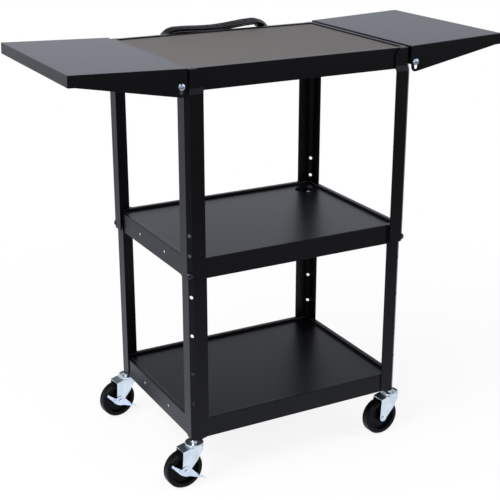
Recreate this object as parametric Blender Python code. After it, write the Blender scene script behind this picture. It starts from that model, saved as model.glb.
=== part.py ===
"""Utility cart: three steel shelves on nested angle legs, two drop leaves, swivel casters.

Metres, +Z up, front of the cart towards -Y, floor at Z = 0. The upper legs telescope over the
lower legs, each leaf swings on two pivot bolts and lifts along a slot in its end flanges, and the
rear of the top shelf carries a three-outlet strip with its cord wound on two hooks.
"""
import math

import bmesh
import bpy
from mathutils import Euler, Matrix, Vector

INCH = 0.0254
ROOT2 = math.sqrt(2.0)

# Clearance between pieces that touch, and how far a cutter runs past what it cuts.
GAP = 0.0003
OVERRUN = 0.004

# Shelves
SHELF_LENGTH = 24 * INCH
SHELF_DEPTH = 18 * INCH
TOP_LIP_Z = 42 * INCH
MIDDLE_LIP_Z = 0.6071
FLANGE_HEIGHT = 0.0521
SHELF_SHEET = 0.0015
RIM_WIDTH = 0.5 * INCH
LIP_HEIGHT = 0.25 * INCH
EDGE_ROUND = 0.0015
INNER_CORNER_CUT = 0.0020
FLANGE_HOLE_SPACING = 6 * INCH
FLANGE_HOLE_DROP = 0.025
FLANGE_HOLE_RADIUS = 0.0042
CABLE_HOLE_FROM_SIDE = 0.0598
CABLE_HOLE_FROM_BACK = 0.0636
CABLE_HOLE_RADIUS = 0.025
MAT_THICKNESS = 0.0031
MAT_MARGIN = 0.0016

# Legs: pressed angles with a flat across the corner
LEG_SHEET = 0.0024
LEG_FACE = 0.0454
LEG_CORNER_CUT = 0.010
LEG_NEST_GAP = 0.0022
LEG_TOP_DOUBLER = 0.0023
UPPER_LEG_BELOW_BOLT = 0.0111
UPPER_LEG_TOP_DROP = 0.0005
UPPER_LEG_TOP_RADIUS = 0.0205
UPPER_LEG_END_CUT = 0.004
JOGGLE_DROP = 0.0067
JOGGLE_HEIGHT = 0.0145
FOOT_DROP = 0.0027
FOOT_LENGTH = 0.0255
FOOT_FRONT_RISE = 0.0055
FOOT_SIDE_RISE = 0.0125
FOOT_PLATE_SHEET = 0.0020
WELD_OVERLAP = 0.0010

# Bolts through the corner flats, and the rows of height holes
BOLT_DROP = 0.0380
BOLT_RADIUS = 0.0040
BOLT_HOLE_RADIUS = 0.0048
BOLT_HEAD_RADIUS = 0.0080
BOLT_HEAD_HEIGHT = 0.0060
DOME_RIM_SHARE = 0.15
BOLT_END = 0.0020
NUT_FLAT_HALF = 0.0065
NUT_HEIGHT = 0.0065
NUT_COLLAR_RADIUS = 0.0050
NUT_COLLAR_HEIGHT = 0.0014
UPPER_HOLE_PITCH = 2 * INCH
UPPER_HOLE_COUNT = 3
LOWER_HOLE_FIRST_DROP = 0.0579
LOWER_HOLE_PITCH = 4 * INCH
LOWER_HOLE_COUNT = 3
LOWEST_HOLE_RISE = 0.0482

# Drop leaves
LEAF_REACH = 0.2865
LEAF_EDGE_GAP = 0.0037
LEAF_SHEET = 0.0012
LEAF_TILT = math.radians(2.1)
LEAF_END_FLANGE = 0.0276
LEAF_END_FLAT = 0.017
LEAF_TOP_ABOVE_PIVOT = 0.0409
LEAF_BELOW_PIVOT = 0.0245
LEAF_HEEL_RADIUS = 0.013
LEAF_INNER_FLANGE = 0.018
LEAF_INNER_FLANGE_MARGIN = 0.055
LEAF_LIFT = 0.0138
PIVOT_OUT = 0.0172
PIVOT_DROP = 0.0378
PIVOT_RADIUS = 0.0040
PIVOT_HEAD_RADIUS = 0.0085
PIVOT_HEAD_HEIGHT = 0.0048
PIVOT_NUT_HEIGHT = 0.0050
BRACKET_SHEET = 0.0020
BRACKET_EAR_RADIUS = 0.0085
BRACKET_HEIGHT = 0.043
BRACKET_WIDTH = 0.036

# Casters
CASTER_IN_X = 0.0054
CASTER_IN_Y = 0.0077
WHEEL_RADIUS = 2 * INCH
WHEEL_WIDTH = 0.029
WHEEL_TREAD_ROUND = 0.005
WHEEL_TREAD_TURN = math.radians(65.0)
WHEEL_RIM_DEPTH = 0.013
WHEEL_WEB_WIDTH = 0.012
WHEEL_HUB_RADIUS = 0.013
WHEEL_TRAIL = 0.0336
FORK_SHEET = 0.0020
FORK_HALF_WIDTH = 0.0190
FORK_ABOVE_WHEEL = 0.0079
FORK_FRONT_RADIUS = 0.0235
FORK_FLAT_REAR = 0.021
FORK_REAR = 0.0415
FORK_REAR_DROP = 0.0040
FORK_FRONT_DEPTH = 0.0070
FORK_EYE_RADIUS = 0.0110
FORK_EYE_TURN = math.radians(173.0)
FORK_FRONT_CURVE_SHARES = ((0.30, 0.23), (0.54, 0.57))
AXLE_RADIUS = 0.0040
AXLE_HEAD_RADIUS = 0.0056
AXLE_HEAD_HEIGHT = 0.0025
KINGPIN_RADIUS = 0.0050
KINGPIN_HEAD_RADIUS = 0.0080
KINGPIN_HEAD_HEIGHT = 0.0032
RACE_RADIUS = 0.0245
RACE_HEIGHT = 0.0045
RACE_ROLL = 0.0030
RACE_DISH = 0.0018
RACE_HUB_RADIUS = 0.0078
MOUNT_HEIGHT = 0.0132
CASTER_HEADINGS = {
    "front_left": math.radians(183.5),
    "rear_left": math.radians(187.8),
    "front_right": math.radians(184.1),
    "rear_right": math.radians(185.0),
}

# Side brake on the two left casters
LEVER_SHEET = 0.0016
LEVER_SLOPE = math.radians(31.0)
LEVER_REAR = 0.0490
LEVER_FRONT = 0.0573
LEVER_BOSS = 0.0135
LEVER_TAB_WIDTH = 0.0090
LEVER_REAR_TAB_SHARE = 0.62
LEVER_FRONT_TAB_SHARE = 0.38
LEVER_REAR_SHARES = (
    (1.00, 0.25), (0.36, 0.02), (0.20, 0.72), (0.06, 0.96),
)
LEVER_FRONT_SHARES = (
    (0.10, 0.85), (0.38, 0.46), (0.68, 0.08), (1.00, 0.08), (1.00, -0.05),
    (0.67, -0.47), (0.27, -0.68), (0.10, -1.00),
)
LEVER_UNDER_SHARES = (
    (0.08, -1.05), (0.24, -1.02), (0.54, -0.66), (0.97, -0.18),
)

# Outlet strip, cord hooks and the wound cord behind the top shelf
STRIP_LENGTH = 0.190
STRIP_HEIGHT = 0.040
STRIP_DEPTH = 0.0372
STRIP_CORNER = 0.0030
STRIP_WALL = 0.0020
OUTLET_COUNT = 3
OUTLET_PITCH = 0.052
FACE_MARGIN = 0.0035
FACE_THICKNESS = 0.0030
OUTLET_PAD = 0.0012
OUTLET_RADIUS = 0.0168
OUTLET_FLAT_HALF = 0.0140
SLOT_SPACING = 0.0127
SLOT_WIDTH = 0.0020
SLOT_HEIGHT = 0.0085
SLOT_DEPTH = 0.0025
SLOT_RISE = 0.0035
GROUND_RADIUS = 0.0026
GROUND_DROP = 0.0075
HANK_X = 0.011
HANK_Y_OUT = 0.030
HANK_DROP = 0.0368
HANK_SAG = 0.0060
HANK_TILT = math.radians(1.3)
HANK_HALF_RUN = 0.118
HOOK_RADIUS = 0.034
HOOK_SHEET = 0.0015
HOOK_HALF_SPAN = math.radians(64.0)
HOOK_RIM = 0.0080
HOOK_TAB_HEIGHT = 0.022
CORD_DIAMETER = 0.0080
CORD_PITCH = 0.0086
CORD_LENGTH_TARGET = 15 * 12 * INCH
TURNS_PER_LAYER = 1.5
LAYER_COUNT = 4
RUN_STEPS = 4
ARC_STEPS = 8
FIRST_STEP = 3
LAST_STEP = 140
LEAD_BEND_RADIUS = 0.024
LEAD_BEND_STEPS = 6
LEAD_RISE_STEPS = 8
TAIL_LENGTH = 0.054
TAIL_STEPS = 4
GLAND_FROM_END = 0.010
GLAND_OUT = 0.0064
GLAND_LENGTH = 0.026
GLAND_RADIUS = 0.0056
GLAND_TIP_RADIUS = 0.0046
PLUG_LENGTH = 0.034
PLUG_WIDTH = 0.026
PLUG_DEPTH = 0.022
PLUG_NECK_RADIUS = 0.0052
PLUG_NECK_LENGTH = 0.010
BLADE_LENGTH = 0.0160
BLADE_WIDTH = 0.0063
BLADE_SHEET = 0.0015
BLADE_SPACING = 0.0127
GROUND_PIN_RADIUS = 0.0024
GROUND_PIN_LENGTH = 0.0185
PLUG_SHOULDER_SHARE = 0.70
PLUG_BODY_SHARE = 0.52

# The origin lies midway between the front brake lever and the rear cord hooks.
CENTRE_Y = -0.0092

# Values that follow from the ones above
HALF_X = SHELF_LENGTH / 2
HALF_Y = SHELF_DEPTH / 2
LOWER_OUT = GAP + LEG_SHEET
UPPER_IN = LOWER_OUT + LEG_NEST_GAP
UPPER_OUT = UPPER_IN + LEG_SHEET
TOP_OUT = GAP + LEG_SHEET + LEG_TOP_DOUBLER
FORK_TOP_Z = 2 * WHEEL_RADIUS + FORK_ABOVE_WHEEL
LEG_BOTTOM = FORK_TOP_Z + MOUNT_HEIGHT + GAP
BOTTOM_LIP_Z = LEG_BOTTOM + FOOT_DROP + FLANGE_HEIGHT
BOLT_Z = MIDDLE_LIP_Z - BOLT_DROP
UPPER_LEG_BOTTOM = BOLT_Z - UPPER_LEG_BELOW_BOLT
UPPER_LEG_TOP = TOP_LIP_Z - UPPER_LEG_TOP_DROP
LOWER_HOLE_TOP_Z = BOLT_Z - LOWER_HOLE_FIRST_DROP
LOWEST_HOLE_Z = BOTTOM_LIP_Z + LOWEST_HOLE_RISE
TOP_FLANGE_BOTTOM = TOP_LIP_Z - FLANGE_HEIGHT
JOGGLE_LOW = TOP_FLANGE_BOTTOM - JOGGLE_DROP
JOGGLE_HIGH = JOGGLE_LOW + JOGGLE_HEIGHT
SHELF_CORNER_CUT = LEG_CORNER_CUT - 2 * LOWER_OUT + (LEG_SHEET + GAP) * ROOT2
PIVOT_X = HALF_X + PIVOT_OUT
PIVOT_Z = TOP_LIP_Z - PIVOT_DROP
LEAF_FLANGE_IN = HALF_Y + UPPER_OUT + GAP
LEAF_FLANGE_OUT = LEAF_FLANGE_IN + LEAF_SHEET
AXLE_HOLE_RADIUS = AXLE_RADIUS + GAP
FORK_INSIDE = FORK_HALF_WIDTH - FORK_SHEET
WHEEL_HUB_HALF = FORK_INSIDE - GAP
HANK_Y = HALF_Y + HANK_Y_OUT
HANK_Z = TOP_LIP_Z - HANK_DROP
GLAND_X = HANK_X + STRIP_LENGTH / 2 - GLAND_FROM_END
LAYERS_DEPTH = (LAYER_COUNT - 1) * CORD_PITCH
HOOK_END_Y = HANK_Y + (LAYERS_DEPTH + CORD_DIAMETER) / 2 + GAP
INNER_TRACK = HOOK_RADIUS + GAP + CORD_DIAMETER / 2
STEPS_PER_TURN = 2 * (RUN_STEPS + ARC_STEPS)
STRIP_Z = HANK_Z
STRIP_BOTTOM = STRIP_Z - STRIP_HEIGHT / 2

CORNERS = {
    "front_left": (-1, -1),
    "front_right": (1, -1),
    "rear_left": (-1, 1),
    "rear_right": (1, 1),
}


def clear_scene():
    """Remove every object, and the meshes and materials that they leave behind."""
    for thing in list(bpy.data.objects):
        bpy.data.objects.remove(thing, do_unlink=True)
    for mesh in list(bpy.data.meshes):
        bpy.data.meshes.remove(mesh)
    for paint in list(bpy.data.materials):
        bpy.data.materials.remove(paint)


def linear(hex_colour):
    """Turn an sRGB hex colour into the linear values that a shader takes."""
    parts = [int(hex_colour[i:i + 2], 16) / 255 for i in (0, 2, 4)]
    return [p / 12.92 if p <= 0.04045 else ((p + 0.055) / 1.055) ** 2.4 for p in parts] + [1.0]


def make_material(name, hex_colour, roughness, metallic=0.0):
    """Make a Principled material in one colour."""
    paint = bpy.data.materials.new(name)
    paint.use_nodes = True
    shader = paint.node_tree.nodes["Principled BSDF"]
    shader.inputs["Base Color"].default_value = linear(hex_colour)
    shader.inputs["Roughness"].default_value = roughness
    shader.inputs["Metallic"].default_value = metallic
    return paint


def make_empty(name, parent, location, rotation=(0.0, 0.0, 0.0)):
    """Make an empty that carries the pieces of one moving body."""
    empty = bpy.data.objects.new(name, None)
    bpy.context.scene.collection.objects.link(empty)
    empty.parent = parent
    empty.location = location
    empty.rotation_euler = rotation
    return empty


def mesh_from(bm, name):
    """Finish a bmesh: outward faces, then a mesh datablock."""
    bmesh.ops.recalc_face_normals(bm, faces=bm.faces)
    mesh = bpy.data.meshes.new(name)
    bm.to_mesh(mesh)
    bm.free()
    return mesh


def add_object(name, mesh, paint, parent, location=(0.0, 0.0, 0.0), rotation=(0.0, 0.0, 0.0)):
    """Put a mesh in the scene as one named piece, with its own copy of the material."""
    piece = bpy.data.objects.new(name, mesh)
    bpy.context.scene.collection.objects.link(piece)
    piece.parent = parent
    piece.location = location
    piece.rotation_euler = rotation
    if paint is not None and not mesh.materials:
        mesh.materials.append(paint)
    return piece


def smooth(mesh, degrees=32.0):
    """Shade the round faces of a mesh smooth and keep its corners sharp."""
    mesh.shade_smooth()
    mesh.set_sharp_from_angle(angle=math.radians(degrees))


def bridge_loops(bm, loops, closed_path=False, cap_ends=True):
    """Skin a list of equal point loops with quads, and cap the two ends."""
    rings = [[bm.verts.new(p) for p in loop] for loop in loops]
    count = len(rings[0])
    pairs = list(zip(rings, rings[1:]))
    if closed_path:
        pairs.append((rings[-1], rings[0]))
    for low, high in pairs:
        for i in range(count):
            j = (i + 1) % count
            bm.faces.new((low[i], low[j], high[j], high[i]))
    if cap_ends and not closed_path:
        bm.faces.new(list(reversed(rings[0])))
        bm.faces.new(rings[-1])
    return rings


def prism(outline, low, high, axis="z"):
    """Extrude a flat outline from low to high along one axis."""
    places = {
        "z": lambda a, b, c: (a, b, c),
        "y": lambda a, b, c: (a, c, b),
        "x": lambda a, b, c: (c, a, b),
    }
    put = places[axis]
    bm = bmesh.new()
    bridge_loops(bm, [[put(a, b, c) for a, b in outline] for c in (low, high)])
    bmesh.ops.recalc_face_normals(bm, faces=bm.faces)
    return bm


def rectangle(low_a, low_b, high_a, high_b):
    """Give the corners of a rectangle as an outline."""
    return [(low_a, low_b), (high_a, low_b), (high_a, high_b), (low_a, high_b)]


def arc(centre_a, centre_b, radius, start, end, steps):
    """Give points along an arc, ends included."""
    turn = [start + (end - start) * i / steps for i in range(steps + 1)]
    return [(centre_a + radius * math.cos(t), centre_b + radius * math.sin(t)) for t in turn]


def circle(centre_a, centre_b, radius, sides):
    """Give the corners of a regular polygon that stands for a circle."""
    return arc(centre_a, centre_b, radius, 0.0, math.tau * (sides - 1) / sides, sides - 1)


def turned(profile, sides):
    """Turn a profile of radius and height, which starts and ends on the axis, about Z."""
    bm = bmesh.new()
    first = bm.verts.new((0.0, 0.0, profile[0][1]))
    last = bm.verts.new((0.0, 0.0, profile[-1][1]))
    rings = []
    for radius, height in profile[1:-1]:
        rings.append([bm.verts.new((a, b, height)) for a, b in circle(0.0, 0.0, radius, sides)])
    for i in range(sides):
        j = (i + 1) % sides
        bm.faces.new((first, rings[0][j], rings[0][i]))
        for low, high in zip(rings, rings[1:]):
            bm.faces.new((low[i], low[j], high[j], high[i]))
        bm.faces.new((last, rings[-1][i], rings[-1][j]))
    bmesh.ops.recalc_face_normals(bm, faces=bm.faces)
    return bm


def turned_ring(profile, sides):
    """Turn a closed profile that stays clear of the axis about Z."""
    bm = bmesh.new()
    loops = []
    for i in range(sides):
        t = math.tau * i / sides
        loops.append([(r * math.cos(t), r * math.sin(t), z) for r, z in profile])
    bridge_loops(bm, loops, closed_path=True)
    bmesh.ops.recalc_face_normals(bm, faces=bm.faces)
    return bm


def moved(bm, matrix):
    """Move a bmesh by a matrix and keep its faces outward."""
    bmesh.ops.transform(bm, matrix=matrix, verts=bm.verts)
    bmesh.ops.recalc_face_normals(bm, faces=bm.faces)
    return bm


def joined(parts):
    """Put several separate bmeshes into one, as one cutter."""
    whole = bmesh.new()
    for bm in parts:
        piece = bpy.data.meshes.new("cutter_part")
        bm.to_mesh(piece)
        bm.free()
        whole.from_mesh(piece)
        bpy.data.meshes.remove(piece)
    return whole


def combined(name, base, steps):
    """Apply Boolean steps of (operation, bmesh) to a base bmesh and give the final mesh."""
    target = bpy.data.objects.new(name + "_blank", mesh_from(base, name + "_blank"))
    bpy.context.scene.collection.objects.link(target)
    tools = []
    for operation, bm in steps:
        tool = bpy.data.objects.new("cut_" + name, mesh_from(bm, "cut_" + name))
        bpy.context.scene.collection.objects.link(tool)
        tool.hide_render = True
        tool.display_type = "WIRE"
        modifier = target.modifiers.new(operation.lower(), "BOOLEAN")
        modifier.operation = operation
        modifier.solver = "EXACT"
        modifier.object = tool
        tools.append(tool)
    bpy.context.view_layer.update()
    graph = bpy.context.evaluated_depsgraph_get()
    result = bpy.data.meshes.new_from_object(target.evaluated_get(graph))
    result.name = name
    for thing in tools + [target]:
        leftover = thing.data
        bpy.data.objects.remove(thing, do_unlink=True)
        bpy.data.meshes.remove(leftover)
    result.materials.clear()
    return result


def mirrored(mesh, sign_x, sign_y, name):
    """Copy a mesh that was made for the +X +Y corner to another corner."""
    bm = bmesh.new()
    bm.from_mesh(mesh)
    bmesh.ops.transform(bm, matrix=Matrix.Diagonal((sign_x, sign_y, 1.0, 1.0)), verts=bm.verts)
    if sign_x * sign_y < 0:
        bmesh.ops.reverse_faces(bm, faces=bm.faces)
    copy = bpy.data.meshes.new(name)
    bm.to_mesh(copy)
    bm.free()
    return copy


def drill(radius, sides, place, direction, length):
    """Make a round cutter centred at a place, along a direction."""
    bm = prism(circle(0.0, 0.0, radius, sides), -length / 2, length / 2)
    turn = Vector((0.0, 0.0, 1.0)).rotation_difference(Vector(direction)).to_matrix().to_4x4()
    return moved(bm, Matrix.Translation(place) @ turn)


def octagon(half_x, half_y, cut, inset):
    """Give a rectangle with its corners cut, drawn in by an inset all round."""
    a = half_x - inset
    b = half_y - inset
    c = max(cut - inset * (2 - ROOT2), INNER_CORNER_CUT)
    return [
        (a, -b + c), (a, b - c), (a - c, b), (-a + c, b),
        (-a, b - c), (-a, -b + c), (-a + c, -b), (a - c, -b),
    ]


def shelf_body(lip_z):
    """Make a pressed shelf in one sheet: a deck, a raised flat rim and a deep flange."""
    deck_z = lip_z - LIP_HEIGHT
    bottom_z = lip_z - FLANGE_HEIGHT
    shoulder = EDGE_ROUND * (1 - 1 / ROOT2)
    levels = [
        (RIM_WIDTH - SHELF_SHEET, deck_z - SHELF_SHEET),
        (RIM_WIDTH - SHELF_SHEET, lip_z - SHELF_SHEET),
        (SHELF_SHEET, lip_z - SHELF_SHEET),
        (SHELF_SHEET, bottom_z),
        (0.0, bottom_z),
        (0.0, lip_z - EDGE_ROUND),
        (shoulder, lip_z - shoulder),
        (EDGE_ROUND, lip_z),
        (RIM_WIDTH - EDGE_ROUND, lip_z),
        (RIM_WIDTH - shoulder, lip_z - shoulder),
        (RIM_WIDTH, lip_z - EDGE_ROUND),
        (RIM_WIDTH, deck_z),
    ]
    bm = bmesh.new()
    loops = []
    for inset, z in levels:
        loops.append([(x, y, z) for x, y in octagon(HALF_X, HALF_Y, SHELF_CORNER_CUT, inset)])
    bridge_loops(bm, loops)
    bmesh.ops.recalc_face_normals(bm, faces=bm.faces)
    return bm


def flange_hole_cutters(lip_z):
    """Make the pairs of round holes in the two side flanges of a shelf."""
    z = lip_z - FLANGE_HOLE_DROP
    holes = []
    for side in (-1, 1):
        for along in (-1, 1):
            place = (side * HALF_X, along * FLANGE_HOLE_SPACING / 2, z)
            holes.append(drill(FLANGE_HOLE_RADIUS, 10, place, (1, 0, 0), 4 * OVERRUN))
    return holes


def corner_point(sign_x, sign_y, along, z):
    """Give a point on the normal of a corner flat, measured from the shelf's square corner."""
    reach = along / ROOT2
    return (sign_x * (HALF_X + reach), sign_y * (HALF_Y + reach), z)


def make_shelves(root, frame, paint, rubber):
    """Make the three shelves and the mat that lies in the top one."""
    top = combined("top_shelf", shelf_body(TOP_LIP_Z),
                   [("DIFFERENCE", joined(flange_hole_cutters(TOP_LIP_Z)))])
    add_object("top_shelf", top, paint["steel"], frame)

    corner_holes = []
    for sign_x, sign_y in CORNERS.values():
        place = corner_point(sign_x, sign_y, -LEG_CORNER_CUT, BOLT_Z)
        corner_holes.append(drill(BOLT_HOLE_RADIUS, 12, place, (sign_x, sign_y, 0), LEG_FACE / 2))
    cable_hole = prism(circle(HALF_X - CABLE_HOLE_FROM_SIDE, HALF_Y - CABLE_HOLE_FROM_BACK,
                              CABLE_HOLE_RADIUS, 24),
                       MIDDLE_LIP_Z - FLANGE_HEIGHT, MIDDLE_LIP_Z + OVERRUN)
    tools = flange_hole_cutters(MIDDLE_LIP_Z) + corner_holes + [cable_hole]
    middle = combined("middle_shelf", shelf_body(MIDDLE_LIP_Z), [("DIFFERENCE", joined(tools))])
    add_object("middle_shelf", middle, paint["steel_middle"], root)

    bottom = combined("bottom_shelf", shelf_body(BOTTOM_LIP_Z),
                      [("DIFFERENCE", joined(flange_hole_cutters(BOTTOM_LIP_Z)))])
    add_object("bottom_shelf", bottom, paint["steel_bottom"], root)

    mat_low = TOP_LIP_Z - LIP_HEIGHT + GAP
    mat_high = mat_low + MAT_THICKNESS
    edge = RIM_WIDTH + MAT_MARGIN
    bm = bmesh.new()
    loops = []
    for inset, z in ((edge, mat_low), (edge, mat_high - EDGE_ROUND), (edge + EDGE_ROUND, mat_high)):
        loops.append([(x, y, z) for x, y in octagon(HALF_X, HALF_Y, SHELF_CORNER_CUT, inset)])
    bridge_loops(bm, loops)
    add_object("top_mat", mesh_from(bm, "top_mat"), rubber, frame)


def leg_loop(z, outer, inner, face_x, face_y):
    """Give the section of an angle leg at one height, measured from the shelf's corner."""
    back_cut = LEG_CORNER_CUT + (outer - inner) * (ROOT2 - 1)
    return [
        (outer - face_x, outer, z), (outer - LEG_CORNER_CUT, outer, z),
        (outer, outer - LEG_CORNER_CUT, z), (outer, outer - face_y, z),
        (inner, outer - face_y, z), (inner, outer - back_cut, z),
        (outer - back_cut, inner, z), (outer - face_x, inner, z),
    ]


def leg_body(sections):
    """Skin the sections of a leg, with its concave ends closed by three quads each."""
    bm = bmesh.new()
    rings = bridge_loops(bm, [leg_loop(*s) for s in sections], cap_ends=False)
    for ring in (rings[0], rings[-1]):
        for i in range(3):
            bm.faces.new((ring[i], ring[i + 1], ring[6 - i], ring[7 - i]))
    bmesh.ops.recalc_face_normals(bm, faces=bm.faces)
    return bm


def hole_row(heights):
    """Make cutters for holes through the corner flat at the given heights."""
    tools = []
    for z in heights:
        tools.append(drill(BOLT_HOLE_RADIUS, 12, (0.0, 0.0, z), (1, 1, 0), LEG_FACE))
    return joined(tools)


def upper_leg_mesh():
    """Make an upper leg: joggled in over the shelf flange, with rounded top corners."""
    low = UPPER_LEG_BOTTOM
    cut = UPPER_LEG_END_CUT
    short = LEG_FACE - cut
    sections = [
        (low, UPPER_OUT, UPPER_IN, short, short),
        (low + cut, UPPER_OUT, UPPER_IN, LEG_FACE, LEG_FACE),
        (JOGGLE_LOW, UPPER_OUT, UPPER_IN, LEG_FACE, LEG_FACE),
        (JOGGLE_HIGH, TOP_OUT, GAP, LEG_FACE, LEG_FACE),
    ]
    steps = 5
    for i in range(steps + 1):
        turn = math.pi / 2 * i / steps
        z = UPPER_LEG_TOP - UPPER_LEG_TOP_RADIUS * (1 - math.sin(turn))
        face = LEG_FACE - UPPER_LEG_TOP_RADIUS * (1 - math.cos(turn))
        sections.append((z, TOP_OUT, GAP, face, face))
    holes = [BOLT_Z + i * UPPER_HOLE_PITCH for i in range(UPPER_HOLE_COUNT)]
    return combined("upper_leg", leg_body(sections), [("DIFFERENCE", hole_row(holes))])


def lower_leg_mesh():
    """Make a lower leg, cut back at the foot, with a plate welded in for the caster."""
    low = LEG_BOTTOM
    side_share = FOOT_FRONT_RISE / FOOT_SIDE_RISE
    side_face = FOOT_LENGTH + (LEG_FACE - FOOT_LENGTH) * side_share
    sections = [
        (low, LOWER_OUT, GAP, FOOT_LENGTH, FOOT_LENGTH),
        (low + FOOT_FRONT_RISE, LOWER_OUT, GAP, LEG_FACE, side_face),
        (low + FOOT_SIDE_RISE, LOWER_OUT, GAP, LEG_FACE, LEG_FACE),
        (MIDDLE_LIP_Z, LOWER_OUT, GAP, LEG_FACE, LEG_FACE),
    ]
    edge = GAP + WELD_OVERLAP
    corner_line = 2 * LOWER_OUT - LEG_CORNER_CUT - LEG_SHEET * ROOT2 + WELD_OVERLAP * ROOT2
    back = LOWER_OUT - FOOT_LENGTH + WELD_OVERLAP
    plate = [(back, back), (edge, back), (edge, corner_line - edge), (corner_line - edge, edge),
             (back, edge)]
    plate_low = low + GAP
    steps = [("UNION", prism(plate, plate_low, plate_low + FOOT_PLATE_SHEET))]
    holes = [BOLT_Z, LOWEST_HOLE_Z]
    holes += [LOWER_HOLE_TOP_Z - i * LOWER_HOLE_PITCH for i in range(LOWER_HOLE_COUNT)]
    steps.append(("DIFFERENCE", hole_row(holes)))
    return combined("lower_leg", leg_body(sections), steps)


def make_legs(root, frame, paint):
    """Stand an upper and a lower leg at each corner of the shelves."""
    for kind, source, parent in (("upper_leg_", upper_leg_mesh(), frame),
                                 ("lower_leg_", lower_leg_mesh(), root)):
        for corner, (sign_x, sign_y) in CORNERS.items():
            mesh = mirrored(source, sign_x, sign_y, kind + corner)
            add_object(kind + corner, mesh, paint["steel_leg"], parent,
                       (sign_x * HALF_X, sign_y * HALF_Y, 0.0))
        bpy.data.meshes.remove(source)


def dome_profile(radius, height):
    """Give the profile of a low round bolt head, from its rim up to the axis."""
    return [(radius, 0.0)] + [
        (radius * math.cos(t), height * (DOME_RIM_SHARE + (1 - DOME_RIM_SHARE) * math.sin(t)))
        for t in (0.0, math.pi / 6, math.pi / 3)
    ] + [(0.0, height)]


def bolt_mesh(name, head_radius, head_height, shank_radius, shank_length):
    """Make a round-head bolt: its head is at +Z and its seat at Z = 0."""
    profile = [(0.0, -shank_length), (shank_radius, -shank_length), (shank_radius, 0.0)]
    profile += dome_profile(head_radius, head_height)
    mesh = mesh_from(turned(profile, 12), name)
    smooth(mesh)
    return mesh


def hex_loop(flat_half, z):
    """Give a hexagon as twelve points: six corners and six middles of flats."""
    points = []
    for i in range(12):
        radius = flat_half if i % 2 else flat_half / math.cos(math.pi / 6)
        turn = math.tau * i / 12
        points.append((radius * math.cos(turn), radius * math.sin(turn), z))
    return points


def round_loop(radius, z):
    """Give a circle as twelve points."""
    return [(a, b, z) for a, b in circle(0.0, 0.0, radius, 12)]


def make_leg_bolts(root, frame, paint):
    """Bolt the legs and the middle shelf together through the corner flats.

    The head and shank ride with the upper leg as far as the sliding face between the legs, and
    the threaded end and its nut stay in the lower leg.
    """
    upper_face = (2 * UPPER_OUT - LEG_CORNER_CUT) / ROOT2
    slide_face = (2 * LOWER_OUT - LEG_CORNER_CUT) / ROOT2
    seat = upper_face + GAP
    shank = seat - slide_face - GAP
    bolt = bolt_mesh("leg_bolt", BOLT_HEAD_RADIUS, BOLT_HEAD_HEIGHT, BOLT_RADIUS, shank)

    shelf_face = -SHELF_CORNER_CUT / ROOT2
    nut_face = shelf_face - SHELF_SHEET - GAP
    start = slide_face - nut_face
    bm = bmesh.new()
    collar = -NUT_COLLAR_HEIGHT
    far = collar - NUT_HEIGHT
    bridge_loops(bm, [
        round_loop(BOLT_RADIUS, start), round_loop(BOLT_RADIUS, 0.0),
        round_loop(NUT_COLLAR_RADIUS, 0.0), round_loop(NUT_COLLAR_RADIUS, collar),
        hex_loop(NUT_FLAT_HALF, collar), hex_loop(NUT_FLAT_HALF, far),
        round_loop(BOLT_RADIUS, far), round_loop(BOLT_RADIUS, far - BOLT_END),
    ])
    nut = mesh_from(bm, "leg_nut")
    for corner, (sign_x, sign_y) in CORNERS.items():
        heading = math.atan2(sign_y, sign_x)
        turn = (0.0, math.pi / 2, heading)
        add_object("leg_bolt_" + corner, bolt.copy(), paint["bolt"], frame,
                   corner_point(sign_x, sign_y, seat, BOLT_Z), turn)
        add_object("leg_nut_" + corner, nut.copy(), paint["zinc_nut"], root,
                   corner_point(sign_x, sign_y, nut_face, BOLT_Z), turn)
    bpy.data.meshes.remove(bolt)
    bpy.data.meshes.remove(nut)


def leaf_outline():
    """Give the end view of a leaf about its pivot: X outward, Z up."""
    inner = LEAF_EDGE_GAP - PIVOT_OUT
    outer = LEAF_REACH - PIVOT_OUT
    top = LEAF_TOP_ABOVE_PIVOT
    heel_x = inner + LEAF_HEEL_RADIUS
    heel_z = -LEAF_BELOW_PIVOT + LEAF_HEEL_RADIUS
    heel = arc(heel_x, heel_z, LEAF_HEEL_RADIUS, -math.pi / 2 + math.radians(8), -math.pi, 5)
    return [(inner, top), (outer, top), (outer, top - LEAF_END_FLANGE),
            (outer - LEAF_END_FLAT, top - LEAF_END_FLANGE)] + heel


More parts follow.
